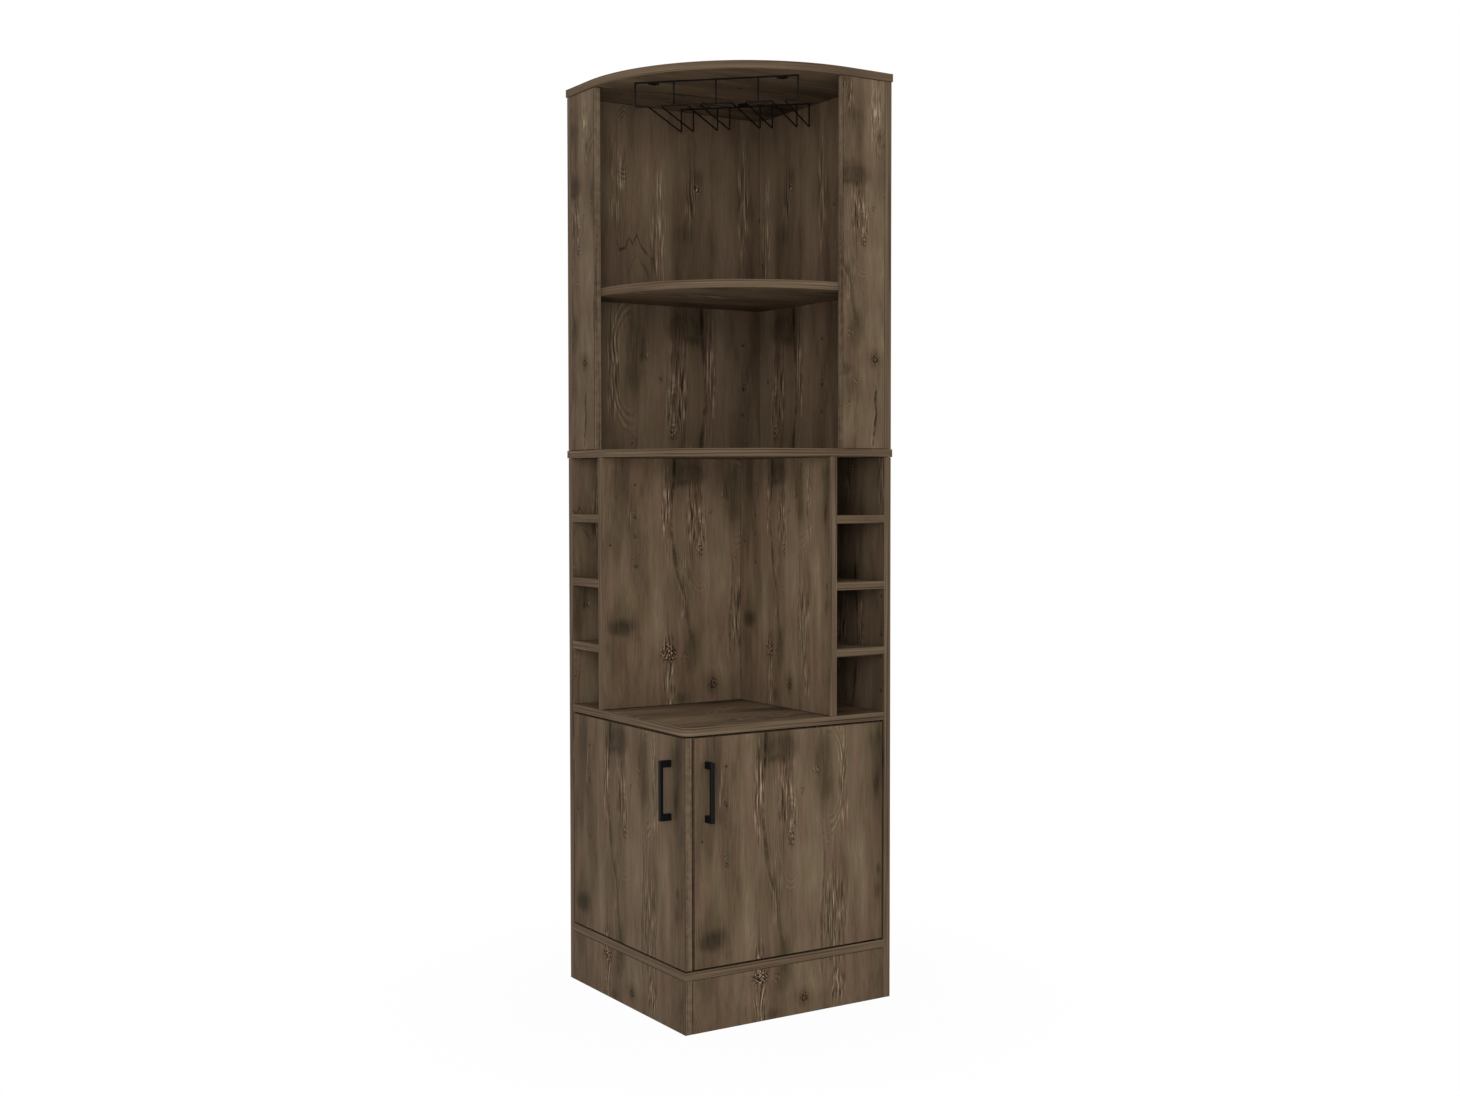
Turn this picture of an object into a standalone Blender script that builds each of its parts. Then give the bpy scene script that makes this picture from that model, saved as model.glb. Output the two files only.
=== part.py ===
"""Corner bar cabinet with two doors, bottle cubbies, a bowed shelf and a stemware rack.

Run with: blender --background --python part.py, or from Blender's text editor.

Units are metres and +Z is up. Every piece is placed from the cabinet's front corner,
the upright line where its two front faces meet: +X runs along the right face, +Y
along the left face, so the left face looks along -X and the right face along -Y.
The two walls stand at the far ends of these faces and meet in the room's corner.
"""

import math

import bmesh
import bpy
from mathutils import Matrix, Vector

# Carcass
SIDE = 0.465
TOTAL_HEIGHT = 1.8
BOARD = 0.015
PLINTH_HEIGHT = 0.1
DOOR_OPENING_HEIGHT = 0.4335
COUNTER_ROUND = 0.018
BOW_STRAIGHT = 0.099
OVERHANG = 0.002
ARRIS = 0.0006

# Bottle cubbies
CUBBY_ROWS = 4
CUBBY_HEIGHT = 0.1131
CUBBY_WIDTH = 0.113

# Display bay
WING_WIDTH = 0.1
SHELF_RISE = 0.3031

# Doors
DOOR_GAP = 0.003
HINGE_GAP = 0.004
CORNER_GAP = 0.0038

# Door pivots
PIVOT_PIN_RADIUS = 0.0025
PIVOT_PIN_LENGTH = 0.008
PIVOT_BODY_RADIUS = 0.004
PIVOT_BODY_LENGTH = 0.018
PIVOT_FLANGE_RADIUS = 0.006
PIVOT_PLAY = 0.0001
PIVOT_END_PLAY = 0.0015
BUSH_WALL = 0.0014

# Door handles
HANDLE_LENGTH = 0.112
HANDLE_REACH = 0.024
HANDLE_WIDTH = 0.008
HANDLE_BAR = 0.007
HANDLE_LEG = 0.013
HANDLE_DROP = 0.045
LEFT_HANDLE_INSET = 0.0533
RIGHT_HANDLE_INSET = 0.0268
HANDLE_ARRIS = 0.0008
SCREW_RADIUS = 0.002
SCREW_GRIP = 0.009
SCREW_HEAD_RADIUS = 0.004
SCREW_HEAD = 0.0025

# Magnetic catches
CATCH_LENGTH = 0.046
CATCH_DEPTH = 0.014
CATCH_HEIGHT = 0.013
CATCH_INSET = 0.045
STRIKE_LENGTH = 0.032
STRIKE_THICKNESS = 0.0012
STRIKE_HEIGHT = 0.011

# Stemware rack
WIRE = 0.003
WIRE_BEND = 0.0055
RACK_FRONT = 0.2284
RACK_WALL_GAP = 0.0138
RACK_SHIFT = 0.0035
RACK_DROP = 0.0478
STEM_GAP = 0.0255
INNER_PITCH = 0.0896
OUTER_PITCH = 0.077
SIDE_REACH = 0.026
TAB_WIDTH = 0.021
TAB_LENGTH = 0.024
TAB_THICKNESS = 0.0015
TAB_HOLE_RADIUS = 0.0023
TAB_OFFSET = 0.1275
RACK_SCREW_RADIUS = 0.00175
RACK_SCREW_GRIP = 0.0099
RACK_SCREW_HEAD_RADIUS = 0.0035
RACK_SCREW_HEAD = 0.0022

# Clearances
JOINT_GAP = 0.0003
OVERRUN = 0.002

# Facets
BOW_STEPS = 48
CORNER_STEPS = 10
BEND_STEPS = 4
TAB_STEPS = 12
ROUND_SIDES = 24
SHARP_ANGLE = math.radians(35)

# Heights of the boards' faces
FLOOR_TOP = PLINTH_HEIGHT + BOARD
COUNTER_UNDER = FLOOR_TOP + DOOR_OPENING_HEIGHT
COUNTER_TOP = COUNTER_UNDER + BOARD
CUBBY_STEP = CUBBY_HEIGHT + BOARD
MID_UNDER = COUNTER_TOP + CUBBY_ROWS * CUBBY_STEP - BOARD
MID_TOP = MID_UNDER + BOARD
TOP_UNDER = TOTAL_HEIGHT - BOARD
SHELF_UNDER = MID_TOP + SHELF_RISE

# Distances from the front corner
WALL_INNER = SIDE - BOARD
BOARD_END = WALL_INNER - JOINT_GAP
CUBBY_PANEL_INNER = WALL_INNER - CUBBY_WIDTH
CUBBY_PANEL_OUTER = CUBBY_PANEL_INNER - BOARD
DOOR_END = WALL_INNER - HINGE_GAP
PIVOT_INSET = BOARD / 2
PIVOT_ALONG = DOOR_END - PIVOT_INSET
WING_INNER = WALL_INNER - WING_WIDTH

# Places on the rack
BAR_HEIGHT = TOP_UNDER - JOINT_GAP - WIRE / 2
RAIL_HEIGHT = TOP_UNDER - RACK_DROP
INNER_RAIL = (INNER_PITCH - STEM_GAP) / 2
RAIL_OFFSETS = (
    INNER_RAIL,
    INNER_RAIL + STEM_GAP,
    INNER_RAIL + OUTER_PITCH,
    INNER_RAIL + OUTER_PITCH + STEM_GAP,
)
RACK_SIDE = RAIL_OFFSETS[3] + SIDE_REACH
RACK_BACK = math.sqrt(2) * (WALL_INNER - RACK_WALL_GAP) - RAIL_OFFSETS[3] - RACK_SHIFT
POST_OFFSET = (RAIL_OFFSETS[1] + RAIL_OFFSETS[2]) / 2

# The middle of the whole cabinet's footprint, its handles included, is the origin
FRONT = (HANDLE_REACH - SIDE - OVERHANG) / 2

FACES = ("left", "right")


def clear_scene():
    """Remove every object that the scene starts with."""
    for item in list(bpy.data.objects):
        bpy.data.objects.remove(item)


def make_collection(name):
    """Add a collection to the scene and return it."""
    group = bpy.data.collections.new(name)
    bpy.context.scene.collection.children.link(group)
    return group


def make_material(name, colour, roughness, metallic):
    """Return a plain Principled material."""
    material = bpy.data.materials.new(name)
    material.use_nodes = True
    shader = material.node_tree.nodes["Principled BSDF"]
    shader.inputs["Base Color"].default_value = (*colour, 1)
    shader.inputs["Roughness"].default_value = roughness
    shader.inputs["Metallic"].default_value = metallic
    return material


def make_empty(name, place, parent=None):
    """Add an empty that carries other pieces."""
    empty = bpy.data.objects.new(name, None)
    CABINET.objects.link(empty)
    empty.parent = parent
    empty.location = place
    return empty


def add_piece(name, data, finish, place, parent=None, turn=0):
    """Add a named piece with its own copy of a finish."""
    piece = bpy.data.objects.new(name, data)
    CABINET.objects.link(piece)
    piece.parent = parent or CORNER
    piece.location = place
    piece.rotation_euler.z = turn
    data.materials.clear()
    data.materials.append(make_material(name, *finish))
    return piece


def add_cutter(name, mesh, place, parent=None):
    """Add a hidden shape that a Boolean takes out of a piece."""
    cutter = bpy.data.objects.new(name, mesh)
    CUTTERS.objects.link(cutter)
    cutter.parent = parent or CORNER
    cutter.location = place
    cutter.display_type = "WIRE"
    cutter.hide_render = True
    return cutter


def cut(piece, cutter):
    """Take the cutter's shape out of the piece."""
    boolean = piece.modifiers.new(cutter.name, "BOOLEAN")
    boolean.operation = "DIFFERENCE"
    boolean.solver = "EXACT"
    boolean.object = cutter


def soften(piece, width):
    """Take the sharpness off a piece's long edges."""
    bevel = piece.modifiers.new("arris", "BEVEL")
    bevel.width = width
    bevel.segments = 1
    bevel.limit_method = "ANGLE"


def box_mesh(name, size):
    """Return a box mesh centred on its own origin."""
    mesh = bpy.data.meshes.new(name)
    shape = bmesh.new()
    bmesh.ops.create_cube(shape, size=1, matrix=Matrix.Diagonal((*size, 1)))
    shape.to_mesh(mesh)
    shape.free()
    return mesh


def rod_mesh(name, radius, length):
    """Return an upright cylinder whose foot is at its own origin."""
    mesh = bpy.data.meshes.new(name)
    shape = bmesh.new()
    bmesh.ops.create_cone(
        shape,
        cap_ends=True,
        segments=ROUND_SIDES,
        radius1=radius,
        radius2=radius,
        depth=length,
        matrix=Matrix.Translation((0, 0, length / 2)),
    )
    shape.to_mesh(mesh)
    shape.free()
    return mesh


def finished_mesh(draft):
    """Return the mesh that a draft object evaluates to, welded, and remove the draft."""
    bpy.context.scene.collection.objects.link(draft)
    graph = bpy.context.evaluated_depsgraph_get()
    mesh = bpy.data.meshes.new_from_object(draft.evaluated_get(graph))
    bpy.data.objects.remove(draft)
    shape = bmesh.new()
    shape.from_mesh(mesh)
    bmesh.ops.remove_doubles(shape, verts=shape.verts, dist=JOINT_GAP / 10)
    shape.to_mesh(mesh)
    shape.free()
    mesh.shade_smooth()
    mesh.set_sharp_from_angle(angle=SHARP_ANGLE)
    return mesh


def turned_piece(name, profile, finish, place, parent=None):
    """Add a piece turned about an upright axis from (radius, height) points, top first."""
    mesh = bpy.data.meshes.new(name)
    points = [(radius, 0, height) for radius, height in profile]
    edges = [(index, index + 1) for index in range(len(points) - 1)]
    mesh.from_pydata(points, edges, [])
    draft = bpy.data.objects.new(name, mesh)
    screw = draft.modifiers.new("turn", "SCREW")
    screw.steps = ROUND_SIDES
    screw.render_steps = ROUND_SIDES
    screw.use_merge_vertices = True
    screw.merge_threshold = JOINT_GAP / 10
    return add_piece(name, finished_mesh(draft), finish, place, parent)


def screw_profile(radius, length, head_radius, head):
    """Return the profile of an upright screw whose head hangs below its origin."""
    return [
        (0, length),
        (radius, length - radius / 2),
        (radius, 0),
        (head_radius, 0),
        (head_radius, -head / 2),
        (head_radius - head / 2, -head),
        (0, -head),
    ]


def flat_mesh(name, outlines, thickness):
    """Return a flat plate: a filled outline, then its holes, centred on its mid plane."""
    curve = bpy.data.curves.new(name, "CURVE")
    curve.dimensions = "2D"
    curve.fill_mode = "BOTH"
    curve.extrude = thickness / 2
    for outline in outlines:
        spline = curve.splines.new("POLY")
        spline.points.add(len(outline) - 1)
        for point, (x, y) in zip(spline.points, outline):
            point.co = (x, y, 0, 1)
        spline.use_cyclic_u = True
    return finished_mesh(bpy.data.objects.new(name, curve))


def arc(centre, radius, start, end, steps):
    """Return points along an arc, both ends included, angles in radians."""
    points = []
    for step in range(steps + 1):
        angle = start + (end - start) * step / steps
        x = centre[0] + radius * math.cos(angle)
        y = centre[1] + radius * math.sin(angle)
        points.append((x, y))
    return points


def bowed_outline(low, high, radius, steps):
    """Return a square from low to high whose front corner is rounded by radius."""
    middle = low + radius
    front = arc((middle, middle), radius, math.pi, 3 / 2 * math.pi, steps)
    return [*front, (high, low), (high, high), (low, high)]


def rounded_path(points, radius):
    """Return a wire's path with each of its square bends rounded."""
    path = [Vector(points[0])]
    for before, corner, after in zip(points, points[1:], points[2:]):
        corner = Vector(corner)
        back = (Vector(before) - corner).normalized()
        ahead = (Vector(after) - corner).normalized()
        centre = corner + (back + ahead) * radius
        for step in range(BEND_STEPS + 1):
            angle = math.pi / 2 * step / BEND_STEPS
            path.append(centre - radius * (ahead * math.cos(angle) + back * math.sin(angle)))
    path.append(Vector(points[-1]))
    return path


def wire(name, points):
    """Add a round wire through points that are given on the rack."""
    curve = bpy.data.curves.new(name, "CURVE")
    curve.dimensions = "3D"
    curve.bevel_depth = WIRE / 2
    curve.bevel_resolution = 2
    curve.use_fill_caps = True
    path = rounded_path(points, WIRE_BEND)
    spline = curve.splines.new("POLY")
    spline.points.add(len(path) - 1)
    for point, place in zip(spline.points, path):
        point.co = (*place, 1)
    return add_piece(name, curve, BLACK_STEEL, (0, 0, 0), RACK)


def on_face(face, along, depth, height):
    """Return a place or a size given along a front face, inward from it, and upward."""
    if face == "left":
        return (depth, along, height)
    return (along, depth, height)


def board(name, low, high, finish=None, parent=None, arris=ARRIS):
    """Add a rectangular board between two corners."""
    size = [top - bottom for bottom, top in zip(low, high)]
    centre = [(top + bottom) / 2 for bottom, top in zip(low, high)]
    finish = finish or WOOD_UPRIGHT
    piece = add_piece(name, box_mesh(name, size), finish, centre, parent)
    soften(piece, arris)
    return piece


def upright(name, face, along, depth, height):
    """Add a vertical board on or behind a front face, a joint gap short at both ends."""
    bottom = height[0] + JOINT_GAP if height[0] else height[0]
    low = on_face(face, along[0], depth[0], bottom)
    high = on_face(face, along[1], depth[1], height[1] - JOINT_GAP)
    return board(name, low, high)


def level_board(name, outline, underside):
    """Add a horizontal board of any outline on its underside's height."""
    mesh = flat_mesh(name, [outline], BOARD)
    place = (0, 0, underside + BOARD / 2)
    piece = add_piece(name, mesh, WOOD_LEVEL, place)
    soften(piece, ARRIS)
    return piece


def build_walls():
    """Stand the two walls, each in a lower and an upper length."""
    lengths = (("lower", 0, MID_UNDER), ("upper", MID_TOP, TOP_UNDER))
    for length, bottom, top in lengths:
        for face, along in (("left", SIDE), ("right", BOARD_END)):
            name = f"{face}_{length}_wall"
            upright(name, face, (WALL_INNER, SIDE), (0, along), (bottom, top))


def build_base():
    """Build the plinth, the bottom board and the countertop."""
    upright("left_plinth", "left", (0, BOARD_END), (0, BOARD), (0, PLINTH_HEIGHT))
    start = BOARD + JOINT_GAP
    upright("right_plinth", "right", (start, BOARD_END), (0, BOARD), (0, PLINTH_HEIGHT))
    far_corner = (BOARD_END, BOARD_END, FLOOR_TOP)
    bottom = board("bottom_board", (0, 0, PLINTH_HEIGHT), far_corner, WOOD_LEVEL)
    outline = bowed_outline(0, BOARD_END, COUNTER_ROUND, CORNER_STEPS)
    counter = level_board("countertop", outline, COUNTER_UNDER)
    return bottom, counter


def build_cubbies():
    """Build the panels and shelves that hold the bottles, on both faces."""
    span = (COUNTER_TOP, MID_UNDER)
    panel = (CUBBY_PANEL_OUTER, CUBBY_PANEL_INNER)
    left_back = CUBBY_PANEL_OUTER - JOINT_GAP
    upright("right_cubby_panel", "right", panel, (0, BOARD_END), span)
    upright("left_cubby_panel", "left", panel, (0, left_back), span)
    for face, back in (("left", left_back), ("right", BOARD_END)):
        for row in range(1, CUBBY_ROWS):
            bottom = COUNTER_TOP + row * CUBBY_STEP - BOARD
            low = on_face(face, CUBBY_PANEL_INNER + JOINT_GAP, 0, bottom)
            high = on_face(face, BOARD_END, back, bottom + BOARD)
            board(f"{face}_cubby_shelf_{row}", low, high, WOOD_LEVEL)


def build_display():
    """Build the mid board, the wings, the bowed shelf and the top board."""
    for face in FACES:
        upright(f"{face}_wing", face, (WING_INNER, BOARD_END), (0, BOARD), (MID_TOP, TOP_UNDER))
    shelf_front = BOARD + JOINT_GAP
    outline = bowed_outline(shelf_front, BOARD_END, WING_INNER - shelf_front, BOW_STEPS)
    level_board("display_shelf", outline, SHELF_UNDER)
    reach = SIDE + OVERHANG
    outline = bowed_outline(-OVERHANG, reach, reach + OVERHANG - BOW_STRAIGHT, BOW_STEPS)
    level_board("mid_board", outline, MID_UNDER)
    return level_board("top_board", outline, TOP_UNDER)


def build_rack(top_board):
    """Hang the wire stemware rack along the diagonal, under the top board."""
    bar_under = BAR_HEIGHT - WIRE / 2 - JOINT_GAP
    rail_over = RAIL_HEIGHT + WIRE / 2 + JOINT_GAP
    rear_reach = RAIL_OFFSETS[3] + WIRE / 2
    side_reach = RACK_SIDE + WIRE / 2
    for end, place, reach in (("front", RACK_FRONT, side_reach), ("back", RACK_BACK, rear_reach)):
        ends = [(place, across, BAR_HEIGHT) for across in (-reach, reach)]
        wire(f"rack_{end}_bar", ends)

    crossings = (
        ("left", RAIL_OFFSETS[2], RAIL_OFFSETS[1]),
        ("centre", RAIL_OFFSETS[0], -RAIL_OFFSETS[0]),
        ("right", -RAIL_OFFSETS[1], -RAIL_OFFSETS[2]),
    )
    for name, first, second in crossings:
        loop = [
            (RACK_BACK, first, bar_under),
            (RACK_BACK, first, RAIL_HEIGHT),
            (RACK_FRONT, first, RAIL_HEIGHT),
            (RACK_FRONT, second, RAIL_HEIGHT),
            (RACK_BACK, second, RAIL_HEIGHT),
            (RACK_BACK, second, bar_under),
        ]
        wire(f"rack_{name}_loop", loop)

    for name, sign in (("left", 1), ("right", -1)):
        rail = sign * RAIL_OFFSETS[3]
        edge = sign * RACK_SIDE
        hook = [
            (RACK_BACK, rail, bar_under),
            (RACK_BACK, rail, RAIL_HEIGHT),
            (RACK_FRONT, rail, RAIL_HEIGHT),
            (RACK_FRONT, edge, RAIL_HEIGHT),
            (RACK_FRONT, edge, bar_under),
        ]
        wire(f"rack_{name}_rail", hook)

    for name, across in (("left", POST_OFFSET), ("centre", 0), ("right", -POST_OFFSET)):
        wire(f"rack_{name}_post", [(RACK_FRONT, across, bar_under), (RACK_FRONT, across, rail_over)])

    build_tabs(top_board)


def build_tabs(top_board):
    """Weld a fixing tab to each end of the front bar and to the back bar, and screw them up."""
    clear = WIRE / 2 + JOINT_GAP
    half = TAB_WIDTH / 2
    straight = TAB_LENGTH - half
    outer = [(0, -half), *arc((straight, 0), half, -math.pi / 2, math.pi / 2, TAB_STEPS), (0, half)]
    hole = arc((straight, 0), TAB_HOLE_RADIUS, 0, 2 * math.pi, TAB_STEPS)[:-1]
    tab_under = TOP_UNDER - JOINT_GAP - TAB_THICKNESS
    tabs = (
        ("left", RACK_FRONT + clear, TAB_OFFSET, 1),
        ("right", RACK_FRONT + clear, -TAB_OFFSET, 1),
        ("back", RACK_BACK - clear, 0, -1),
    )
    for name, place, across, way in tabs:
        mesh = flat_mesh(f"rack_{name}_tab", [outer, hole], TAB_THICKNESS)
        centre = (place, across, tab_under + TAB_THICKNESS / 2)
        turn = 0 if way > 0 else math.pi
        add_piece(f"rack_{name}_tab", mesh, BLACK_STEEL, centre, RACK, turn)
        screw_place = (place + way * straight, across, tab_under - JOINT_GAP)
        reach = RACK_SCREW_GRIP + TOP_UNDER - screw_place[2]
        profile = screw_profile(RACK_SCREW_RADIUS, reach, RACK_SCREW_HEAD_RADIUS, RACK_SCREW_HEAD)
        turned_piece(f"rack_{name}_screw", profile, BRIGHT_STEEL, screw_place, RACK)
        pilot_name = f"rack_{name}_pilot"
        depth = OVERRUN + RACK_SCREW_GRIP + JOINT_GAP
        pilot = rod_mesh(pilot_name, RACK_SCREW_RADIUS + JOINT_GAP, depth)
        pilot_place = (screw_place[0], across, TOP_UNDER - OVERRUN)
        cut(top_board, add_cutter(pilot_name, pilot, pilot_place, RACK))


def build_door(face, start, handle_inset, bottom, counter):
    """Hang one door on its pivots, with its handle, strike plate and catch."""
    low_height = FLOOR_TOP + DOOR_GAP
    high_height = COUNTER_UNDER - DOOR_GAP
    pivot = on_face(face, PIVOT_ALONG, PIVOT_INSET, 0)
    axis = make_empty(f"{face}_door_axis", pivot, CORNER)

    def from_axis(along, depth, height):
        """Return a place on the door as seen from the joint's axis."""
        return on_face(face, along - PIVOT_ALONG, depth - PIVOT_INSET, height)

    low = from_axis(start, 0, low_height)
    high = from_axis(DOOR_END, BOARD, high_height)
    door = board(f"{face}_door", low, high, WOOD_UPRIGHT, axis)

    ends = (("lower", low_height, 1, bottom), ("upper", high_height, -1, counter))
    for end, height, way, carrier in ends:
        build_pivot(face, end, height, way, door, carrier, axis)

    handle_along = start + handle_inset
    build_handle(face, handle_along, high_height, door, axis, from_axis)

    strike_along = start + CATCH_INSET + CATCH_LENGTH / 2
    back = BOARD + JOINT_GAP
    top = high_height - ARRIS
    low = from_axis(strike_along - STRIKE_LENGTH / 2, back, top - STRIKE_HEIGHT)
    high = from_axis(strike_along + STRIKE_LENGTH / 2, back + STRIKE_THICKNESS, top)
    board(f"{face}_strike_plate", low, high, BRIGHT_STEEL, axis, ARRIS / 2)

    catch_front = back + STRIKE_THICKNESS + JOINT_GAP
    catch_top = COUNTER_UNDER - JOINT_GAP
    low = on_face(face, strike_along - CATCH_LENGTH / 2, catch_front, catch_top - CATCH_HEIGHT)
    high = on_face(face, strike_along + CATCH_LENGTH / 2, catch_front + CATCH_DEPTH, catch_top)
    board(f"{face}_catch", low, high, BLACK_PLASTIC)


def build_pivot(face, end, height, way, door, carrier, axis):
    """Fit a pivot pin in one end of a door and its bush in the board beyond it."""
    flange = (DOOR_GAP - 3 * JOINT_GAP) / 2
    seat = PIVOT_BODY_RADIUS + JOINT_GAP
    hollow = PIVOT_PIN_LENGTH + flange + 2 * JOINT_GAP - DOOR_GAP + PIVOT_END_PLAY
    bush_depth = hollow + BUSH_WALL
    pin_profile = [
        (0, PIVOT_BODY_LENGTH),
        (PIVOT_BODY_RADIUS, PIVOT_BODY_LENGTH),
        (PIVOT_BODY_RADIUS, 0),
        (PIVOT_FLANGE_RADIUS, 0),
        (PIVOT_FLANGE_RADIUS, -flange),
        (PIVOT_PIN_RADIUS, -flange),
        (PIVOT_PIN_RADIUS, -flange - PIVOT_PIN_LENGTH),
        (0, -flange - PIVOT_PIN_LENGTH),
    ]
    bore = PIVOT_PIN_RADIUS + PIVOT_PLAY
    bush_radius = bore + BUSH_WALL
    bush_profile = [
        (0, -hollow),
        (bore, -hollow),
        (bore, flange),
        (PIVOT_FLANGE_RADIUS, flange),
        (PIVOT_FLANGE_RADIUS, 0),
        (bush_radius, 0),
        (bush_radius, -bush_depth),
        (0, -bush_depth),
    ]
    turn = 0 if way > 0 else math.pi

    name = f"{face}_{end}_pivot_pin"
    pin = turned_piece(name, pin_profile, BLACK_STEEL, (0, 0, height - way * JOINT_GAP), axis)
    pin.rotation_euler.x = turn
    bore_name = f"{face}_{end}_pin_bore"
    depth = PIVOT_BODY_LENGTH + OVERRUN
    foot = height - OVERRUN if way > 0 else height + OVERRUN - depth
    cut(door, add_cutter(bore_name, rod_mesh(bore_name, seat, depth), (0, 0, foot), axis))

    name = f"{face}_{end}_pivot_bush"
    x, y, _ = on_face(face, PIVOT_ALONG, PIVOT_INSET, 0)
    surface = height - way * DOOR_GAP
    bush = turned_piece(name, bush_profile, BLACK_PLASTIC, (x, y, surface + way * JOINT_GAP))
    bush.rotation_euler.x = turn
    bore_name = f"{face}_{end}_bush_bore"
    depth = bush_depth + OVERRUN
    foot = surface + OVERRUN - depth if way > 0 else surface - OVERRUN
    cutter = rod_mesh(bore_name, bush_radius + JOINT_GAP, depth)
    cut(carrier, add_cutter(bore_name, cutter, (x, y, foot)))


def build_handle(face, along, door_top, door, axis, from_axis):
    """Screw a square bar handle to the front of a door."""
    half = HANDLE_LENGTH / 2
    inner = half - HANDLE_LEG
    finger = HANDLE_REACH - HANDLE_BAR
    outline = [
        (-half, JOINT_GAP),
        (-inner, JOINT_GAP),
        (-inner, finger),
        (inner, finger),
        (inner, JOINT_GAP),
        (half, JOINT_GAP),
        (half, HANDLE_REACH),
        (-half, HANDLE_REACH),
    ]
    mesh = flat_mesh(f"{face}_handle", [outline], HANDLE_WIDTH)
    stand = Matrix(((0, 0, 1, 0), (0, -1, 0, 0), (1, 0, 0, 0), (0, 0, 0, 1)))
    mesh.transform(stand)
    turn = -math.pi / 2 if face == "left" else 0
    middle = door_top - HANDLE_DROP - half
    place = from_axis(along, 0, middle)
    handle = add_piece(f"{face}_handle", mesh, BLACK_STEEL, place, axis, turn)
    soften(handle, HANDLE_ARRIS)

    reach = SCREW_GRIP + BOARD
    profile = screw_profile(SCREW_RADIUS, reach, SCREW_HEAD_RADIUS, SCREW_HEAD)
    tilt = (0, -math.pi / 2, 0) if face == "left" else (math.pi / 2, 0, 0)
    for end, way in (("lower", -1), ("upper", 1)):
        height = middle + way * (half - HANDLE_LEG / 2)
        name = f"{face}_{end}_handle_screw"
        head_place = from_axis(along, BOARD + JOINT_GAP, height)
        screw = turned_piece(name, profile, BRIGHT_STEEL, head_place, axis)
        screw.rotation_euler = tilt
        hole_name = f"{face}_{end}_handle_hole"
        hole = rod_mesh(hole_name, SCREW_RADIUS + JOINT_GAP, reach + OVERRUN)
        cutter = add_cutter(hole_name, hole, from_axis(along, BOARD + OVERRUN, height), axis)
        cutter.rotation_euler = tilt
        cut(door, cutter)
        cut(handle, cutter)


clear_scene()
CABINET = make_collection("corner_bar_cabinet")
CUTTERS = make_collection("cutters")

# Finishes: colour, roughness and metallic
WOOD_UPRIGHT = ((0.128, 0.089, 0.055), 0.62, 0)
WOOD_LEVEL = ((0.142, 0.101, 0.064), 0.6, 0)
BLACK_STEEL = ((0.012, 0.012, 0.013), 0.42, 0.6)
BRIGHT_STEEL = ((0.62, 0.61, 0.58), 0.32, 1)
BLACK_PLASTIC = ((0.02, 0.02, 0.02), 0.5, 0)

CORNER = make_empty("front_corner", (FRONT, FRONT, 0))
RACK_TURN = math.pi / 4
RACK = make_empty("rack_middle", Vector((0, -RACK_SHIFT, 0)), CORNER)
RACK.location.rotate(Matrix.Rotation(RACK_TURN, 3, "Z"))
RACK.rotation_euler.z = RACK_TURN

build_walls()
bottom_board, countertop = build_base()
build_cubbies()
build_rack(build_display())
build_door("left", 0, LEFT_HANDLE_INSET, bottom_board, countertop)
build_door("right", BOARD + CORNER_GAP, RIGHT_HANDLE_INSET, bottom_board, countertop)
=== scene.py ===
"""Corner bar cabinet: its finishes, edge bands, stemware rack and fittings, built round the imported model."""

import logging
import math
from collections.abc import Callable
from dataclasses import dataclass, field
from enum import Enum

import bpy
import numpy as np
from mathutils import Matrix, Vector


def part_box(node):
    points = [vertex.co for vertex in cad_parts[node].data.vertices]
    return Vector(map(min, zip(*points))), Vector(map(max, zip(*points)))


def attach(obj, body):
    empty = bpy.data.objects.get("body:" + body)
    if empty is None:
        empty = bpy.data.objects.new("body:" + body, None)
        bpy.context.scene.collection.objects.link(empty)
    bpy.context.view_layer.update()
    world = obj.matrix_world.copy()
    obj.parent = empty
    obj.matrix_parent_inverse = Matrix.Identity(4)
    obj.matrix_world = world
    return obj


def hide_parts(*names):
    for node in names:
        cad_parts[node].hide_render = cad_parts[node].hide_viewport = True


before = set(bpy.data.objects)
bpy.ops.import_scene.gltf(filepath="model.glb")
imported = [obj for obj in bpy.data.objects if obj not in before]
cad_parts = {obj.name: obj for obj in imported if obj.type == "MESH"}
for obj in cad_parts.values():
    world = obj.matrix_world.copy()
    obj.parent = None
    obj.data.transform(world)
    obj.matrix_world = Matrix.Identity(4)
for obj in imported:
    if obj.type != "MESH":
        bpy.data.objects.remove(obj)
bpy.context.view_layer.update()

LOG = logging.getLogger("bar_cabinet")
MM = 0.001
BOARD = 0.015  # the thickness of every board
GAP = 0.0003  # the room between pieces that nearly touch
CORNER = float(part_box("left_door")[0][0])  # x and y of the corner where the two fronts meet

Pair = tuple[float, float]
Triple = tuple[float, float, float]


class Face(Enum):
    """The two fronts of the cabinet, as they are seen from the room."""

    LEFT = "left"
    RIGHT = "right"


class Finish(Enum):
    """The finishes of the metal and plastic parts, named as the record's slots are."""

    BLACK_STEEL = "black_steel"
    BRIGHT_STEEL = "bright_steel"
    BLACK_PLASTIC = "black_plastic"


def linear(*seen: float) -> Triple:
    """Turn a colour as it is seen on a screen into the linear values that nodes take.

    Args:
        seen: red, green and blue, 0 to 255.

    Returns:
        The linear colour, 0 to 1.
    """
    parts = np.array(seen) / 255
    curve = np.where(parts <= 0.04045, parts / 12.92, ((parts + 0.055) / 1.055) ** 2.4)
    return tuple(curve.tolist())


# The colour of the print where it is worn, and where it is lightened as a painted edge highlight.
WEAR_AND_HIGHLIGHT_WOOD = linear(168, 152, 130)
# The painted shade in the gaps between boards and doors.
PAINTED_GAP_SHADE = linear(20, 12, 6)


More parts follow.
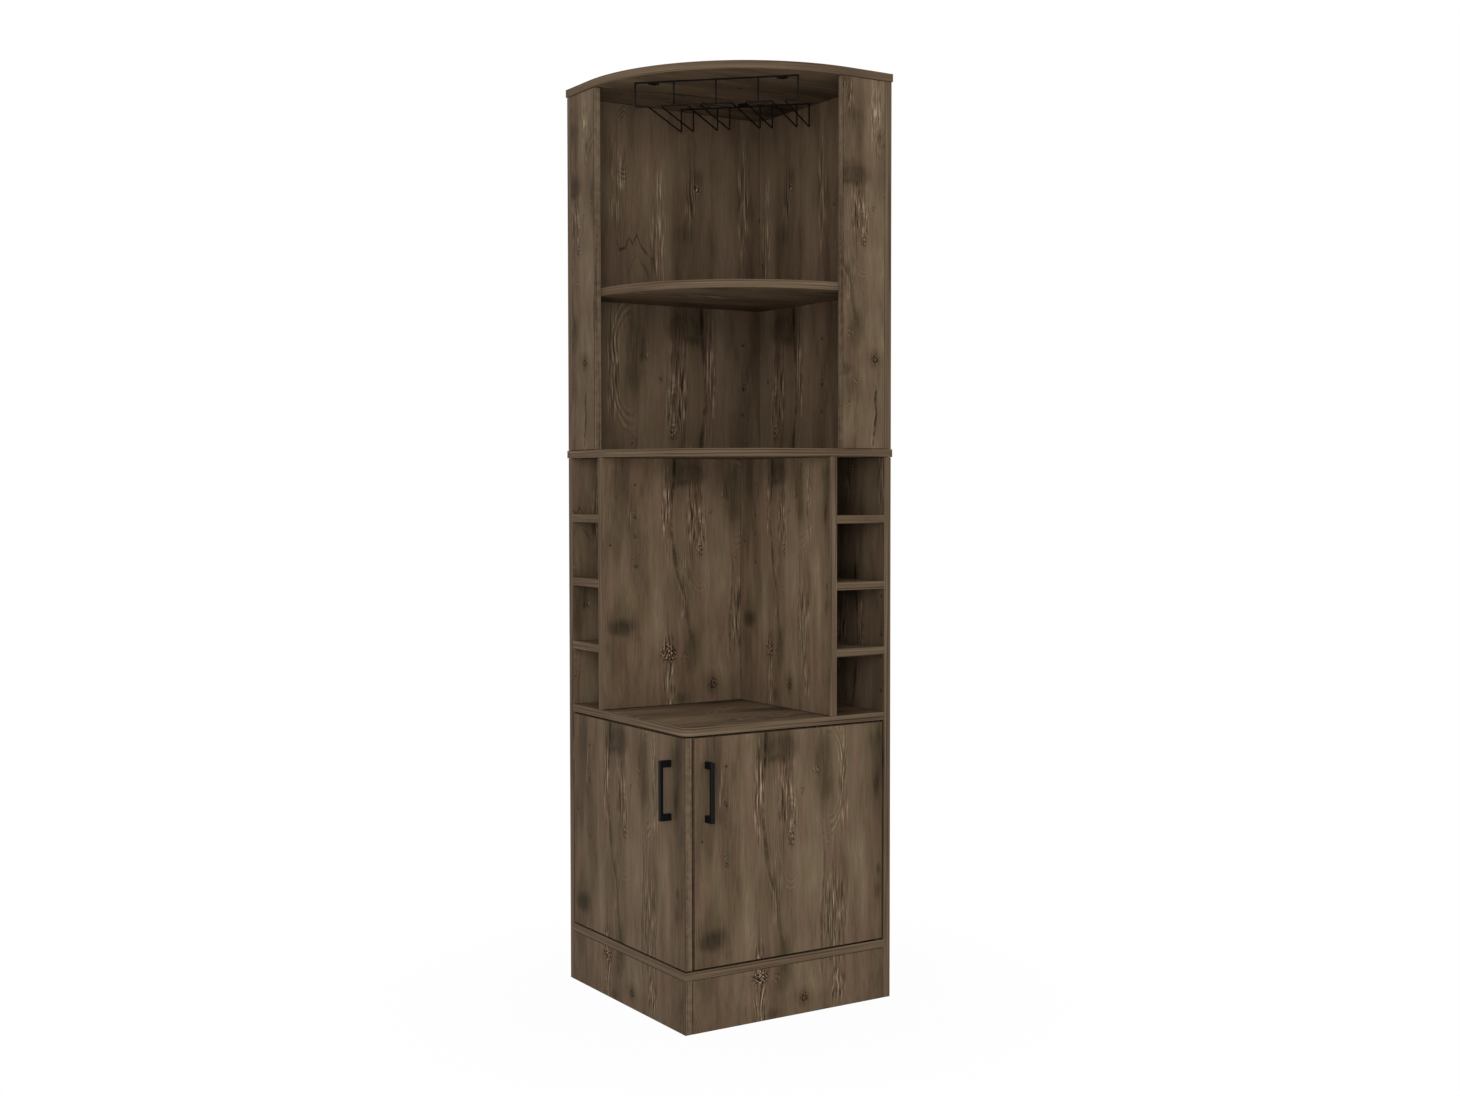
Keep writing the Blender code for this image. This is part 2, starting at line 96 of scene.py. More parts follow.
def operation(name: str, swapped: bool = False, output: int | str = 0) -> Callable[..., "Value"]:
    """Make a method of Value that adds a Math node, or a Vector Math node where a vector takes part.

    Args:
        name: the node's operation.
        swapped: whether self is its second operand.
        output: the output that is returned.

    Returns:
        The method.
    """

    def method(self: "Value", *others: object) -> "Value":
        """Add the node.

        Args:
            others: its other operands, which are numbers, triples or values.

        Returns:
            The node's result.
        """
        parts = (*others, self) if swapped else (self, *others)
        wide = any(isinstance(part, tuple) or getattr(part, "is_vector", False) for part in parts)
        kind = "ShaderNodeVectorMath" if wide else "ShaderNodeMath"
        return self.bench.get(kind, {"operation": name}, dict(enumerate(parts)), output)

    return method


class Value:
    """A node's output that can be used in sums written in Python."""

    __add__, __mul__, __truediv__ = operation("ADD"), operation("MULTIPLY"), operation("DIVIDE")
    __sub__, __rsub__ = operation("SUBTRACT"), operation("SUBTRACT", swapped=True)
    __abs__, sine = operation("ABSOLUTE"), operation("SINE")
    least, most, scaled = operation("MINIMUM"), operation("MAXIMUM"), operation("MULTIPLY_ADD")
    dot, length = operation("DOT_PRODUCT", output="Value"), operation("LENGTH", output="Value")

    def __init__(self, bench: "Bench", socket: bpy.types.NodeSocket) -> None:
        """Keep the output and the bench that makes nodes next to it.

        Args:
            bench: the bench.
            socket: the output.
        """
        self.bench = bench
        self.socket = socket
        self.is_vector = socket.type == "VECTOR"

    def part(self, index: int) -> "Value":
        """Return one of the three parts of self."""
        return self.dot(tuple(float(index == place) for place in range(3)))

    def rise(self, low: float, high: float) -> "Value":
        """Return a soft step of self.

        Args:
            low: where the step is still 0.
            high: where it has become 1; below low, the step falls instead.

        Returns:
            The step, 0 to 1.
        """
        start, end = (0.0, 1.0) if low < high else (1.0, 0.0)
        low, high = min(low, high), max(low, high)
        inputs = {"Value": self, "From Min": low, "From Max": high, "To Min": start, "To Max": end}
        return self.bench.get("ShaderNodeMapRange", {"interpolation_type": "SMOOTHSTEP"}, inputs)

    def curve(self, points: list[Pair]) -> "Value":
        """Return the height at self of a line through points."""
        return self.bench.get("ShaderNodeFloatCurve", {"points": points}, {"Value": self})

    def noise(self, scale: tuple[float, ...], detail: float = 2.0, rough: float = 0.5) -> "Value":
        """Return a noise of 0 to 1 at a place, with so many grains for each metre on two axes or three."""
        inputs = {"Vector": self * (*scale, 1.0)[:3], "Scale": 1.0, "Detail": detail, "Roughness": rough}
        return self.bench.get("ShaderNodeTexNoise", None, inputs)

    def stray(self, place: "Value", scale: Pair, reach: Pair) -> "Value":
        """Move self by a noise.

        Args:
            place: where the noise is read.
            scale: its grains for each metre on two axes.
            reach: the width of the band that self strays in, on each.

        Returns:
            The moved place.
        """
        way = self.bench.get("ShaderNodeGroup", {"node_tree": wander_group()}, {0: place * (*scale, 1.0)})
        return self + way.scaled((*reach, 0.0), (-reach[0] / 2, -reach[1] / 2, 0.0))

    def far(self, centre: Pair, size: Pair) -> "Value":
        """Return how far a place is from a centre, where 1 is the edge of an ellipse.

        Args:
            centre: the ellipse's middle, in millimetres.
            size: its two half axes, in millimetres.

        Returns:
            The distance, which leaves out the third axis.
        """
        scale = (1 / (size[0] * MM), 1 / (size[1] * MM), 0.0)
        return self.scaled(scale, (-centre[0] / size[0], -centre[1] / size[1], 0.0)).length()


class Bench:
    """Makes the nodes of one material or node group."""

    def __init__(self, tree: bpy.types.NodeTree) -> None:
        """Start on an empty tree."""
        self.tree = tree
        tree.nodes.clear()

    def node(self, kind: str, settings: dict | None = None, inputs: dict | None = None) -> bpy.types.Node:
        """Add one node.

        Args:
            kind: Blender's name of the node's type.
            settings: what is set on the node first; stops and points fill a ramp or a curve.
            inputs: a number, a triple or a Value for each of its sockets, by name or index.

        Returns:
            The new node.
        """
        made = self.tree.nodes.new(kind)
        for name, setting in (settings or {}).items():
            if name == "stops":
                ramp = made.color_ramp.elements
                for place, colour in setting[1:-1]:
                    ramp.new(place).color = (*colour, 1)
                for element, (place, colour) in zip((ramp[0], ramp[-1]), (setting[0], setting[-1])):
                    element.position = place
                    element.color = (*colour, 1)
            elif name == "points":
                curve = made.mapping.curves[0].points
                for place in setting[1:-1]:
                    curve.new(*place)
                curve[0].location, curve[-1].location = setting[0], setting[-1]
                for point in curve:
                    point.handle_type = "VECTOR"
                made.mapping.extend = "HORIZONTAL"
                made.mapping.update()
            else:
                setattr(made, name, setting)
        for name, given in (inputs or {}).items():
            self.feed(made.inputs[name], given)
        return made

    def feed(self, socket: bpy.types.NodeSocket, given: object) -> None:
        """Link a value to a socket, or write a number or a triple on it.

        Args:
            socket: a node's input.
            given: what it takes.
        """
        if isinstance(given, Value):
            self.tree.links.new(given.socket, socket)
        elif socket.type == "RGBA" and isinstance(given, tuple):
            socket.default_value = (*given, 1)
        elif socket.type == "VECTOR" and not isinstance(given, tuple):
            socket.default_value = (given, given, given)
        else:
            socket.default_value = given

    def get(
        self, kind: str, settings: dict | None = None, inputs: dict | None = None, output: int | str = 0
    ) -> Value:
        """Add a node as node() does, and return one of its outputs."""
        return Value(self, self.node(kind, settings, inputs).outputs[output])

    def outputs(
        self, kind: str, settings: dict | None = None, inputs: dict | None = None
    ) -> dict[str, Value]:
        """Add a node as node() does, and return its outputs by name."""
        return {output.name: Value(self, output) for output in self.node(kind, settings, inputs).outputs}

    def vector(self, *parts: object) -> Value:
        """Return the vector that has these parts."""
        return self.get("ShaderNodeCombineXYZ", None, dict(enumerate(parts)))

    def mix(self, share: object, first: object, second: object, blend: str = "MIX") -> Value:
        """Return the colour between first and second at a share of 0 to 1."""
        settings = {"data_type": "RGBA", "blend_type": blend, "clamp_factor": True}
        return self.get("ShaderNodeMix", settings, {0: share, 6: first, 7: second}, 2)

    def rim(self) -> Value:
        """Return the mark that a piece carries on its worn rims, 0 to 1."""
        return self.get("ShaderNodeAttribute", {"attribute_name": "rim"}, output="Fac")

    def straight(self) -> Value:
        """Return 1 for rays from the camera, a mirror or a glass, which see the white background, or 0."""
        rays = self.outputs("ShaderNodeLightPath")
        return rays["Is Camera Ray"].most(rays["Is Glossy Ray"]).most(rays["Is Transmission Ray"])

    def close(
        self, colour: Value, rough: Value, relief: Value, depth: float, shine: float, metallic: float = 0.0
    ) -> None:
        """Finish a material with its shader.

        Args:
            colour: the base colour.
            rough: the roughness.
            relief: the height of the surface, 0 to 1.
            depth: how deep a relief of 1 is, in metres.
            shine: the specular level, the same all over.
            metallic: 1 for a bare metal.
        """
        bump = self.get("ShaderNodeBump", None, {"Height": relief, "Distance": depth, "Strength": 1.0})
        inputs = {"Base Color": colour, "Roughness": rough, "Normal": bump}
        inputs.update({"Specular IOR Level": shine, "Metallic": metallic})
        shader = self.get("ShaderNodeBsdfPrincipled", None, inputs)
        self.node("ShaderNodeOutputMaterial", None, {"Surface": shader})


def new_material(name: str) -> tuple[bpy.types.Material, Bench]:
    """Start a material.

    Args:
        name: the material's name.

    Returns:
        The material, without nodes, and its bench.
    """
    made = bpy.data.materials.new(name)
    made.use_nodes = True
    return made, Bench(made.node_tree)


def new_group(name: str, **outputs: str) -> tuple[bpy.types.NodeTree, Bench, Value]:
    """Start a node group that takes a place.

    Args:
        name: the group's name.
        outputs: the type of each output.

    Returns:
        The group, its bench and the place that it is given.
    """
    tree = bpy.data.node_groups.new(name, "ShaderNodeTree")
    tree.interface.new_socket("Place", in_out="INPUT", socket_type="NodeSocketVector")
    for output, kind in outputs.items():
        tree.interface.new_socket(output, in_out="OUTPUT", socket_type=f"NodeSocket{kind}")
    bench = Bench(tree)
    return tree, bench, bench.get("NodeGroupInput")


def wander_group() -> bpy.types.NodeTree:
    """Make the group whose output is a vector of three noises, when it is first asked for.

    Returns:
        The group.
    """
    if "wander" in bpy.data.node_groups:
        return bpy.data.node_groups["wander"]
    tree, bench, place = new_group("wander", Way="Vector")
    way = bench.get("ShaderNodeTexNoise", None, {"Vector": place, "Scale": 1.0, "Detail": 2.0}, "Color")
    bench.node("NodeGroupOutput", None, {"Way": way})
    return tree


@dataclass(frozen=True)
class Spot:
    """An ellipse on the decor, in millimetres across and along the grain."""

    u: float
    v: float
    half_width: float
    half_height: float

    def far(self, place: Value, grow: float = 1.0) -> Value:
        """Return how far a place is from the spot's middle, where 1 is the edge of the spot grown so much."""
        return place.far((self.u, self.v), (self.half_width * grow, self.half_height * grow))


@dataclass(frozen=True)
class Patch(Spot):
    """A soft place that is darker by depth, and smoky; core is the share of it that is even."""

    depth: float
    smoke: float = 0.0
    core: float = 0.15


@dataclass(frozen=True)
class Fibres(Spot):
    """A place where light and dark fibres show."""

    light: float
    dark: float


@dataclass(frozen=True)
class Arch(Spot):
    """Growth lines that close to an arch; side is how much of it shows on its right only."""

    lift: float
    side: float = 0.0


@dataclass(frozen=True)
class Knot:
    """A knot, or a small dark tick, in millimetres on the decor."""

    u: float
    v: float
    radius: float
    dark: float
    light: float = 0.0
    stretch: float = 1.4


@dataclass(frozen=True)
class Crack:
    """A dark line; each point is (along, aside, half width, depth), in millimetres on the decor."""

    points: tuple[tuple[float, float, float, float], ...]
    lying: bool = False
    light: float = 0.0


PATCHES = (
    Patch(57, 168, 30, 19, 0.17, 1.0, 0.3),
    Patch(62, 188, 34, 44, 0.07, 0.6),
    Patch(70, 160, 26, 40, 0.03, 0.2),
    Patch(62, 415, 38, 130, 0.06, 0.2),
    Patch(192, 518, 52, 34, 0.09, 0.2, 0.5),
    Patch(212, 508, 30, 24, 0.07, 0.2, 0.6),
    Patch(198, 491, 20, 6, 0.07, 0.0, 0.2),
    Patch(174, 522, 9, 28, 0.08, 0.2),
    Patch(307, 463, 22, 76, 0.15, 1.0, 0.3),
    Patch(300, 508, 16, 24, 0.05, 0.4),
    Patch(312, 428, 14, 24, 0.05, 0.4),
    Patch(214, 112, 20, 56, 0.17, 0.8),
    Patch(178, 318, 9, 24, 0.09, 1.0),
    Patch(433, 462, 17, 86, 0.12, 0.7),
    Patch(425, 512, 18, 18, 0.06, 0.3),
    Patch(430, 418, 8, 24, 0.09, 0.5),
    Patch(344, 258, 20, 54, 0.05),
    Patch(437, 258, 6, 10, 0.14, 0.2),
    Patch(434, 212, 10, 16, 0.10, 0.4),
    Patch(190, -2, 18, 15, 0.13, 0.4),
    Patch(264, 28, 22, 28, 0.12, 0.6),
    Patch(93, 136, 10, 9, 0.06),
    Patch(213, 668, 46, 92, 0.06, 0.3),
    Patch(213, 671, 20, 16, 0.07, 0.3),
    Patch(187, 765, 14, 17, 0.12, 0.5),
    Patch(215, -60, 22, 40, 0.10, 0.5),
    Patch(154, 659, 12, 40, 0.08, 0.3),
    Patch(395, 820, 40, 60, 0.05, 0.3),
    Patch(75, 40, 16, 46, 0.06),
    Patch(36, 244, 17, 46, -0.13),
    Patch(134, 192, 20, 88, -0.12),
    Patch(282, 320, 22, 116, -0.07),
    Patch(256, 440, 17, 60, -0.06),
    Patch(404, 240, 20, 80, -0.06),
    Patch(28, 50, 13, 54, -0.12),
    Patch(134, 48, 18, 34, -0.09),
    Patch(287, 50, 20, 34, -0.10),
    Patch(258, 705, 15, 110, -0.08),
    Patch(194, 192, 4, 12, -0.22),
    Patch(288, 450, 8, 10, -0.10),
)

FIBRES = (
    Fibres(222, 412, 26, 88, 0.40, 0.26),
    Fibres(158, 432, 13, 100, 0.52, 0.24),
    Fibres(330, 180, 30, 84, 0.45, 0.33),
    Fibres(160, 130, 13, 26, 0.60, 0.27),
    Fibres(164, 26, 15, 60, 0.63, 0.39),
    Fibres(340, 42, 18, 50, 0.60, 0.36),
    Fibres(264, 660, 16, 120, 0.32, 0.16),
    Fibres(87, 715, 14, 110, 0.32, 0.14),
    Fibres(78, 438, 5, 66, 0.33, 0.09),
    Fibres(197, 723, 13, 44, 0.36, 0.18),
    Fibres(352, 440, 12, 110, 0.39, 0.18),
    Fibres(200, 250, 14, 70, 0.24, 0.15),
    Fibres(345, 745, 16, 80, 0.36, 0.15),
)

ARCHES = (
    Arch(318, 450, 31, 84, 0.19, 0.8),
    Arch(331, 808, 15, 46, -0.22),
    Arch(331, 822, 9, 34, -0.15),
    Arch(84, 372, 13, 48, -0.10),
    Arch(232, 330, 20, 70, 0.09),
)

KNOTS = (
    Knot(162, 101, 20, 0.60, 0.54, 1.2),
    Knot(263, 26, 13, 0.32, 0.19, 1.2),
    Knot(232, 340, 10, 0.27, 0.30, 2.0),
    Knot(258, 427, 5, 0.30, 0.16),
    Knot(290, 463, 10, 0.14, 0.32, 0.8),
    Knot(88, 490, 4, 0.30),
    Knot(88, 416, 4, 0.30),
    Knot(88, 372, 4, 0.24),
    Knot(90, 305, 5, 0.30, 0.07),
    Knot(35, 353, 3, 0.39),
    Knot(184, 745, 7, 0.32, 0.46, 1.0),
    Knot(51, 705, 6, 0.35, 0.16, 1.6),
    Knot(241, 366, 4, 0.24, 0.00, 2.4),
    Knot(315, 325, 5, 0.22, 0.14, 2.0),
    Knot(215, -38, 9, 0.11, 0.35, 1.0),
    Knot(198, 94, 9, 0.11, 0.35, 1.4),
    Knot(197, -96, 8, 0.16, 0.19, 1.6),
)

LONG_CRACK = (
    (96, 216, 6.0, 0.00), (133, 213, 6.0, 0.16), (163, 207, 5.0, 0.16), (218, 202, 3.2, 0.16),
    (253, 191, 3.0, 0.19), (288, 181, 3.2, 0.20), (323, 175, 4.8, 0.19), (350, 172, 3.4, 0.25),
    (380, 169, 3.0, 0.26), (438, 168, 3.2, 0.26), (490, 172, 3.8, 0.25), (533, 175, 4.6, 0.22),
    (600, 177, 3.0, 0.00),
)  # fmt: skip
FAINT_CRACK = (
    (70, 304, 2.0, 0.00), (94, 303, 2.4, 0.16), (165, 301, 2.6, 0.20), (200, 304, 2.6, 0.19),
    (263, 308, 2.6, 0.14), (300, 309, 2.6, 0.17), (348, 305, 2.6, 0.16), (372, 302, 2.0, 0.00),
)  # fmt: skip
WING_CRACK = (
    (-215, 256, 1.6, 0.00), (-205, 257, 2.0, 0.33), (-180, 259, 2.6, 0.40), (-150, 262, 2.6, 0.40),
    (-120, 265, 2.0, 0.37), (-90, 262, 2.4, 0.37), (-60, 264, 2.0, 0.31), (-40, 262, 1.6, 0.00),
)  # fmt: skip
TORN_CRACK = (
    (270, 620, 2.0, 0.00), (277, 626, 2.4, 0.22), (291, 638, 2.2, 0.26), (298, 646, 2.2, 0.24),
    (305, 662, 2.4, 0.28), (313, 646, 2.0, 0.22), (320, 655, 2.0, 0.24), (328, 639, 2.4, 0.28),
    (339, 635, 2.4, 0.26), (345, 652, 2.0, 0.22), (349, 668, 2.0, 0.00),
)  # fmt: skip
TORN_SHADE = (
    (276, 590, 3.0, 0.00), (284, 600, 4.0, 0.14), (292, 612, 4.0, 0.17), (303, 628, 3.6, 0.18),
    (312, 620, 3.6, 0.15), (320, 600, 4.0, 0.14), (330, 588, 4.0, 0.00),
)  # fmt: skip

CRACKS = (
    Crack(LONG_CRACK, light=0.14),
    Crack(FAINT_CRACK, light=0.12),
    Crack(WING_CRACK, light=0.08),
    Crack(TORN_CRACK, lying=True),
    Crack(TORN_SHADE, lying=True),
)

ACROSS = (
    (-80, 0.00), (0, 0.00), (45, -0.05), (105, -0.01), (135, 0.05), (165, -0.01), (215, -0.03),
    (255, 0.06), (290, 0.06), (315, -0.02), (350, 0.04), (400, 0.03), (440, -0.08), (500, -0.02),
)  # fmt: skip


@dataclass(frozen=True)
class Laminate:
    """The printed pine decor of every board, and the edging that goes with it.

    The decor is one long picture that each board shows a stretch of. Its tone is a sum of slow bands, fibres
    and single marks, and a ramp turns the tone into a colour. A place on it is in metres. The pairs are
    grains for each metre, across and along the grain.
    """

    ramp: tuple[tuple[float, Triple], ...] = (
        (0.00, (30, 21, 13)),
        (0.20, (60, 49, 38)),
        (0.36, (82, 67, 53)),
        (0.50, (99, 82, 65)),
        (0.64, (111, 94, 76)),
        (0.80, (130, 113, 92)),
        (1.00, (162, 144, 120)),
    )
    smoke: Triple = (0.93, 1.0, 0.93)
    rust: Triple = (1.04, 0.965, 0.98)
    olive: Triple = (0.975, 1.03, 0.94)
    roughness: float = 0.6
    sheen: float = 0.035
    line_pitch: float = 0.0075
    knot_pull: float = 0.62
    least_bending_knot: float = 7.0
    widest_crack: float = 8.0
    cloud: Pair = (33.0, 8.0)
    band: Pair = (64.0, 5.0)
    fibre: Pair = (340.0, 16.0)
    comb: Pair = (1250.0, 50.0)
    pore: Pair = (760.0, 30.0)
    strand: Pair = (430.0, 20.0)
    speck: Pair = (300.0, 200.0)

    def colour(self, tone: Value) -> Value:
        """Return the colour that the ramp has at a tone."""
        stops = [(place, linear(*seen)) for place, seen in self.ramp]
        return tone.bench.get("ShaderNodeValToRGB", {"stops": stops}, {"Fac": tone})

    def flow(self, place: Value) -> Value:
        """Bend the grain: it wanders slowly, and opens round each knot.

        Near a knot at u0 the place is pulled to u0 by a share g that falls to 0 with the distance, so a line
        of equal grain bows outwards by 1 / (1 - g).

        Args:
            place: the place on the decor.

        Returns:
            The place whose first part runs across the bent grain.
        """
        bent = place.stray(place, (9.0, 2.4), (0.016, 0.0)).stray(place, (46.0, 11.0), (0.0035, 0.0))
        across, along = bent.part(0), bent.part(1)
        for knot in KNOTS:
            if knot.radius >= self.least_bending_knot:
                near = place.far((knot.u, knot.v), (knot.radius * 2.2, knot.radius * 5.0)).rise(1.0, 0.0)
                across = (across - knot.u * MM) * (near * -self.knot_pull) + across
        return place.bench.vector(across, along)

    def marks(self, place: Value, grain: Value) -> tuple[Value, Value]:
        """Sum up the single marks of the decor.

        Args:
            place: the place on the decor.
            grain: the same place with the grain bent.

        Returns:
            What the marks add to the tone, and how smoky the place is.
        """
        blurred = place.stray(place, (30.0, 14.0), (0.014, 0.022)).stray(place, (110.0, 26.0), (0.004, 0.014))
        tone: Value | float = 0.0
        smoke: Value | float = 0.0
        for patch in PATCHES:
            near = patch.far(blurred, 1.45).rise(1.0, patch.core)
            tone = near * -patch.depth + tone
            if patch.smoke:
                smoke = near * patch.smoke + smoke
        patchy = (place + (0.4, 0.2, 0.0)).noise((70.0, 20.0)).rise(0.32, 0.60)
        strand = self.strands(place, grain)
        light: Value | float = 0.03
        dark: Value | float = 0.035
        for zone in FIBRES:
            near = zone.far(blurred, 1.35).rise(1.0, 0.3)
            light = near * zone.light + light
            dark = near * zone.dark + dark
        tone = tone + strand.rise(0.12, 0.55) * patchy * light - strand.rise(-0.15, -0.60) * dark
        tone = tone + self.knot_marks(place)
        for crack in CRACKS:
            tone = tone + self.crack_mark(place, crack)
        for arch in ARCHES:
            tone = tone + self.arch_mark(place, arch)
        return tone, smoke

    def strands(self, place: Value, grain: Value) -> Value:
        """Draw the growth lines.

        They are fine strands along the grain, and the sine of (turns across the grain + a noise), which
        makes wandering lines.

        Args:
            place: the place on the decor.
            grain: the same place with the grain bent.

        Returns:
            The lines, about -1 to 1.
        """
        turns = grain.part(0) * (2 * math.pi / self.line_pitch)
        wave = (turns + place.noise((30.0, 9.0)) * 15.0 + grain.noise((60.0, 3.0), 3.0, 0.6) * 34.0).sine()
        waved = grain.stray(place, (24.0, 22.0), (0.006, 0.0)) + (0.5, 0.1, 0.0)
        return wave * 0.36 + (waved.noise(self.strand, 1.0) - 0.5) * 4.2

    def across(self, place: Value) -> Value:
        """Draw the slow upright bands.

        Args:
            place: the place on the decor.

        Returns:
            How much lighter the decor is there.
        """
        low, high = ACROSS[0][0] * MM, ACROSS[-1][0] * MM
        points = [((u * MM - low) / (high - low), tone + 0.5) for u, tone in ACROSS]
        bent = place.stray(place, (12.0, 5.0), (0.02, 0.0))
        return ((bent.part(0) - low) / (high - low)).curve(points) - 0.5

    def knot_marks(self, place: Value) -> Value:
        """Draw the knots, as dark and light specks in torn round patches.

        Args:
            place: the place on the decor.

        Returns:
            The change of tone.
        """
        specks = place.noise(self.speck, 2.0, 0.6)
        blurred = place.stray(place, (130.0, 90.0), (0.010, 0.014))
        dark, glint = specks.rise(0.44, 0.58), specks.rise(0.50, 0.36)
        tone: Value | float = 0.0
        for knot in KNOTS:
            near = blurred.far((knot.u, knot.v), (knot.radius, knot.radius * knot.stretch)).rise(1.2, 0.4)
            tone = near * (dark * -knot.dark - knot.dark * 0.12) + tone
            if knot.light:
                tone = near * (glint * knot.light) + tone
        return tone

    def crack_mark(self, place: Value, crack: Crack) -> Value:
        """Draw one crack.

        Three curves along the crack give its place, its half width and its depth; the tone falls with the
        distance from the crack's middle, and a light fibre may run beside it.

        Args:
            place: the place on the decor.
            crack: the crack's points.

        Returns:
            The change of tone.
        """
        points = np.array(crack.points)
        low, high = points[0, 0] * MM, points[-1, 0] * MM
        left, right = points[:, 1].min() * MM - 0.01, points[:, 1].max() * MM + 0.01
        blurred = place.stray(place, (120.0, 60.0), (0.002, 0.012) if crack.lying else (0.0035, 0.004))
        along, across = blurred.part(int(not crack.lying)), blurred.part(int(crack.lying))
        run = (along - low) / (high - low)
        steps = ((points[:, 0] * MM - low) / (high - low)).tolist()
        rows = ((points[:, 1] * MM - left) / (right - left), points[:, 2] / self.widest_crack, points[:, 3])
        middle, half, depth = (run.curve(list(zip(steps, row.tolist()))) for row in rows)
        aside = across - (middle * (right - left) + left)
        mark = (abs(aside) / (half * (self.widest_crack * MM) + 0.0004)).rise(1.5, 0.3) * -1.0
        if crack.light:
            mark = abs(aside + 0.0052).rise(0.0030, 0.0008) * (crack.light / 0.4) + mark
        return mark * depth * (place.noise((30.0, 55.0)).rise(0.28, 0.62) * 0.7 + 0.3)

    def arch_mark(self, place: Value, arch: Arch) -> Value:
        """Draw one arch, as thin lines on ellipses, one outside the other.

        Args:
            place: the place on the decor.
            arch: the arch's place and size.

        Returns:
            The change of tone.
        """
        far = arch.far(place.stray(place, (60.0, 26.0), (0.006, 0.012)))
        wave = (far * 36.0).sine()
        lines = wave.rise(-0.1, 1.0) - wave.rise(-0.3, -1.0) * 0.4
        lines = lines * far.rise(0.84, 0.98) * far.rise(1.50, 1.20)
        if arch.side:
            beside = place.part(0) - (arch.u - arch.half_width * 0.2) * MM
            lines = lines * (beside.rise(0.0, arch.half_width * MM * 0.4) * arch.side + (1 - arch.side))
        return lines * (place.noise((60.0, 30.0)).rise(0.3, 0.6) * arch.lift)

    def decor(self) -> bpy.types.NodeTree:
        """Build the node group for the boards' broad sides.

        Returns:
            The group, which gives the decor's colour and roughness at a place on it.
        """
        tree, bench, place = new_group("pine_decor", Colour="Color", Roughness="Float")
        grain = self.flow(place)
        marks, smoke = self.marks(place, grain)
        torn = grain.stray(place, (140.0, 30.0), (0.004, 0.030))
        cloud = (torn + (0.7, 0.3, 0.0)).noise(self.cloud).rise(0.34, 0.64)
        bands = (torn + (0.31, 0.0, 0.0)).noise(self.band, 3.0, 0.55)
        fibre = grain.noise(self.fibre, 2.0, 0.6)
        fine = grain.noise(self.comb, 2.0, 0.6)
        pores = grain.noise(self.pore, 1.0).rise(0.66, 0.74)
        combed = (place + (0.9, 0.5, 0.0)).noise((26.0, 7.0)).rise(0.40, 0.62) * 1.05 + 0.2
        tone = grain.noise((17.0, 2.6)) * 0.34 + cloud * 0.085 + bands * 0.34 + 0.13
        tone = tone + (fibre * 0.26 + fine * 0.16 - pores * 0.10 - 0.21) * combed
        tone = tone + self.across(place) * 1.25 + marks
        hue = (torn + (2.0, 1.0, 0.0)).noise((30.0, 6.0))
        colour = bench.mix(hue.rise(0.44, 0.68) * 0.8, self.colour(tone), self.rust, "MULTIPLY")
        colour = bench.mix(hue.rise(0.54, 0.32) * 0.7, colour, self.olive, "MULTIPLY")
        colour = bench.mix(smoke.least(1.0), colour, self.smoke, "MULTIPLY")
        rough = (1.0 - tone) * 0.16 + fine * 0.10 + (self.roughness - 0.13)
        bench.node("NodeGroupOutput", None, {"Colour": colour, "Roughness": rough})
        return tree

    def edging(self) -> bpy.types.NodeTree:
        """Build the node group for the boards' edges, whose grain runs along the edge.

        Returns:
            The group, which gives the edging's colour and roughness at a place on it.
        """
        tree, bench, place = new_group("pine_edging", Colour="Color", Roughness="Float")
        bent = place.stray(place, (5.0, 60.0), (0.0, 0.004))
        fine = bent.noise((40.0, 1700.0))
        line = (bent + (0.2, 0.1, 0.0)).noise((2.6, 330.0), 1.0)
        tone = bent.noise((3.2, 260.0)) * 0.34 + bent.noise((9.0, 620.0), 2.0, 0.6) * 0.22
        tone = tone + place.noise((7.0, 20.0)) * 0.26 + fine * 0.10 + 0.04
        tone = tone - line.rise(0.54, 0.66) * 0.24 + line.rise(0.44, 0.32) * 0.16
        rough = (1.0 - tone) * 0.14 + fine * 0.10 + (self.roughness - 0.12)
        bench.node("NodeGroupOutput", None, {"Colour": self.colour(tone), "Roughness": rough})
        return tree

    def relief(self, place: Value, scale: Pair) -> Value:
        """Return the height of the embossed grain, 0 to 1, with so many grains for each metre."""
        pores = place.noise((scale[0] * 2.2, scale[1] * 2.2), 1.0).rise(0.66, 0.74)
        return place.noise(scale, 2.0, 0.6) - pores * 0.5


@dataclass(frozen=True)
class Lay:
    """How the decor lies on one board.

    The place on the decor is (across . p + start[0], along . p + start[1]) for a point p in metres. The board
    is thin along the axis with the number thin, and tone is painted light and shade: it draws the whole board
    lighter or darker beside the others, as the light falls on it.
    """

    across: Triple
    along: Triple
    start: Pair
    thin: int = 2
    tone: float = 1.0


def upright(face: Face, scale: Pair, start: Pair, tone: float = 1.0) -> Lay:
    """Lay the decor on a board with its grain upright.

    Args:
        face: which way the shown side looks; a right one is read along x, a left one against y.
        scale: the decor's metres for each metre of the board, across and along the grain.
        start: the place on the decor at the row's origin.
        tone: painted light and shade, how much lighter or darker the board is drawn beside the others.

    Returns:
        The board's lay.
    """
    right = face is Face.RIGHT
    across = (scale[0], 0.0, 0.0) if right else (0.0, -scale[0], 0.0)
    return Lay(across, (0.0, 0.0, scale[1]), start, int(right), tone)


def level(scale: float, start: Pair, tone: float = 1.0) -> Lay:
    """Lay the decor on a level board with its grain along x, and so many metres of it to the metre."""
    return Lay((0.0, scale, 0.0), (scale, 0.0, 0.0), start, tone=tone)
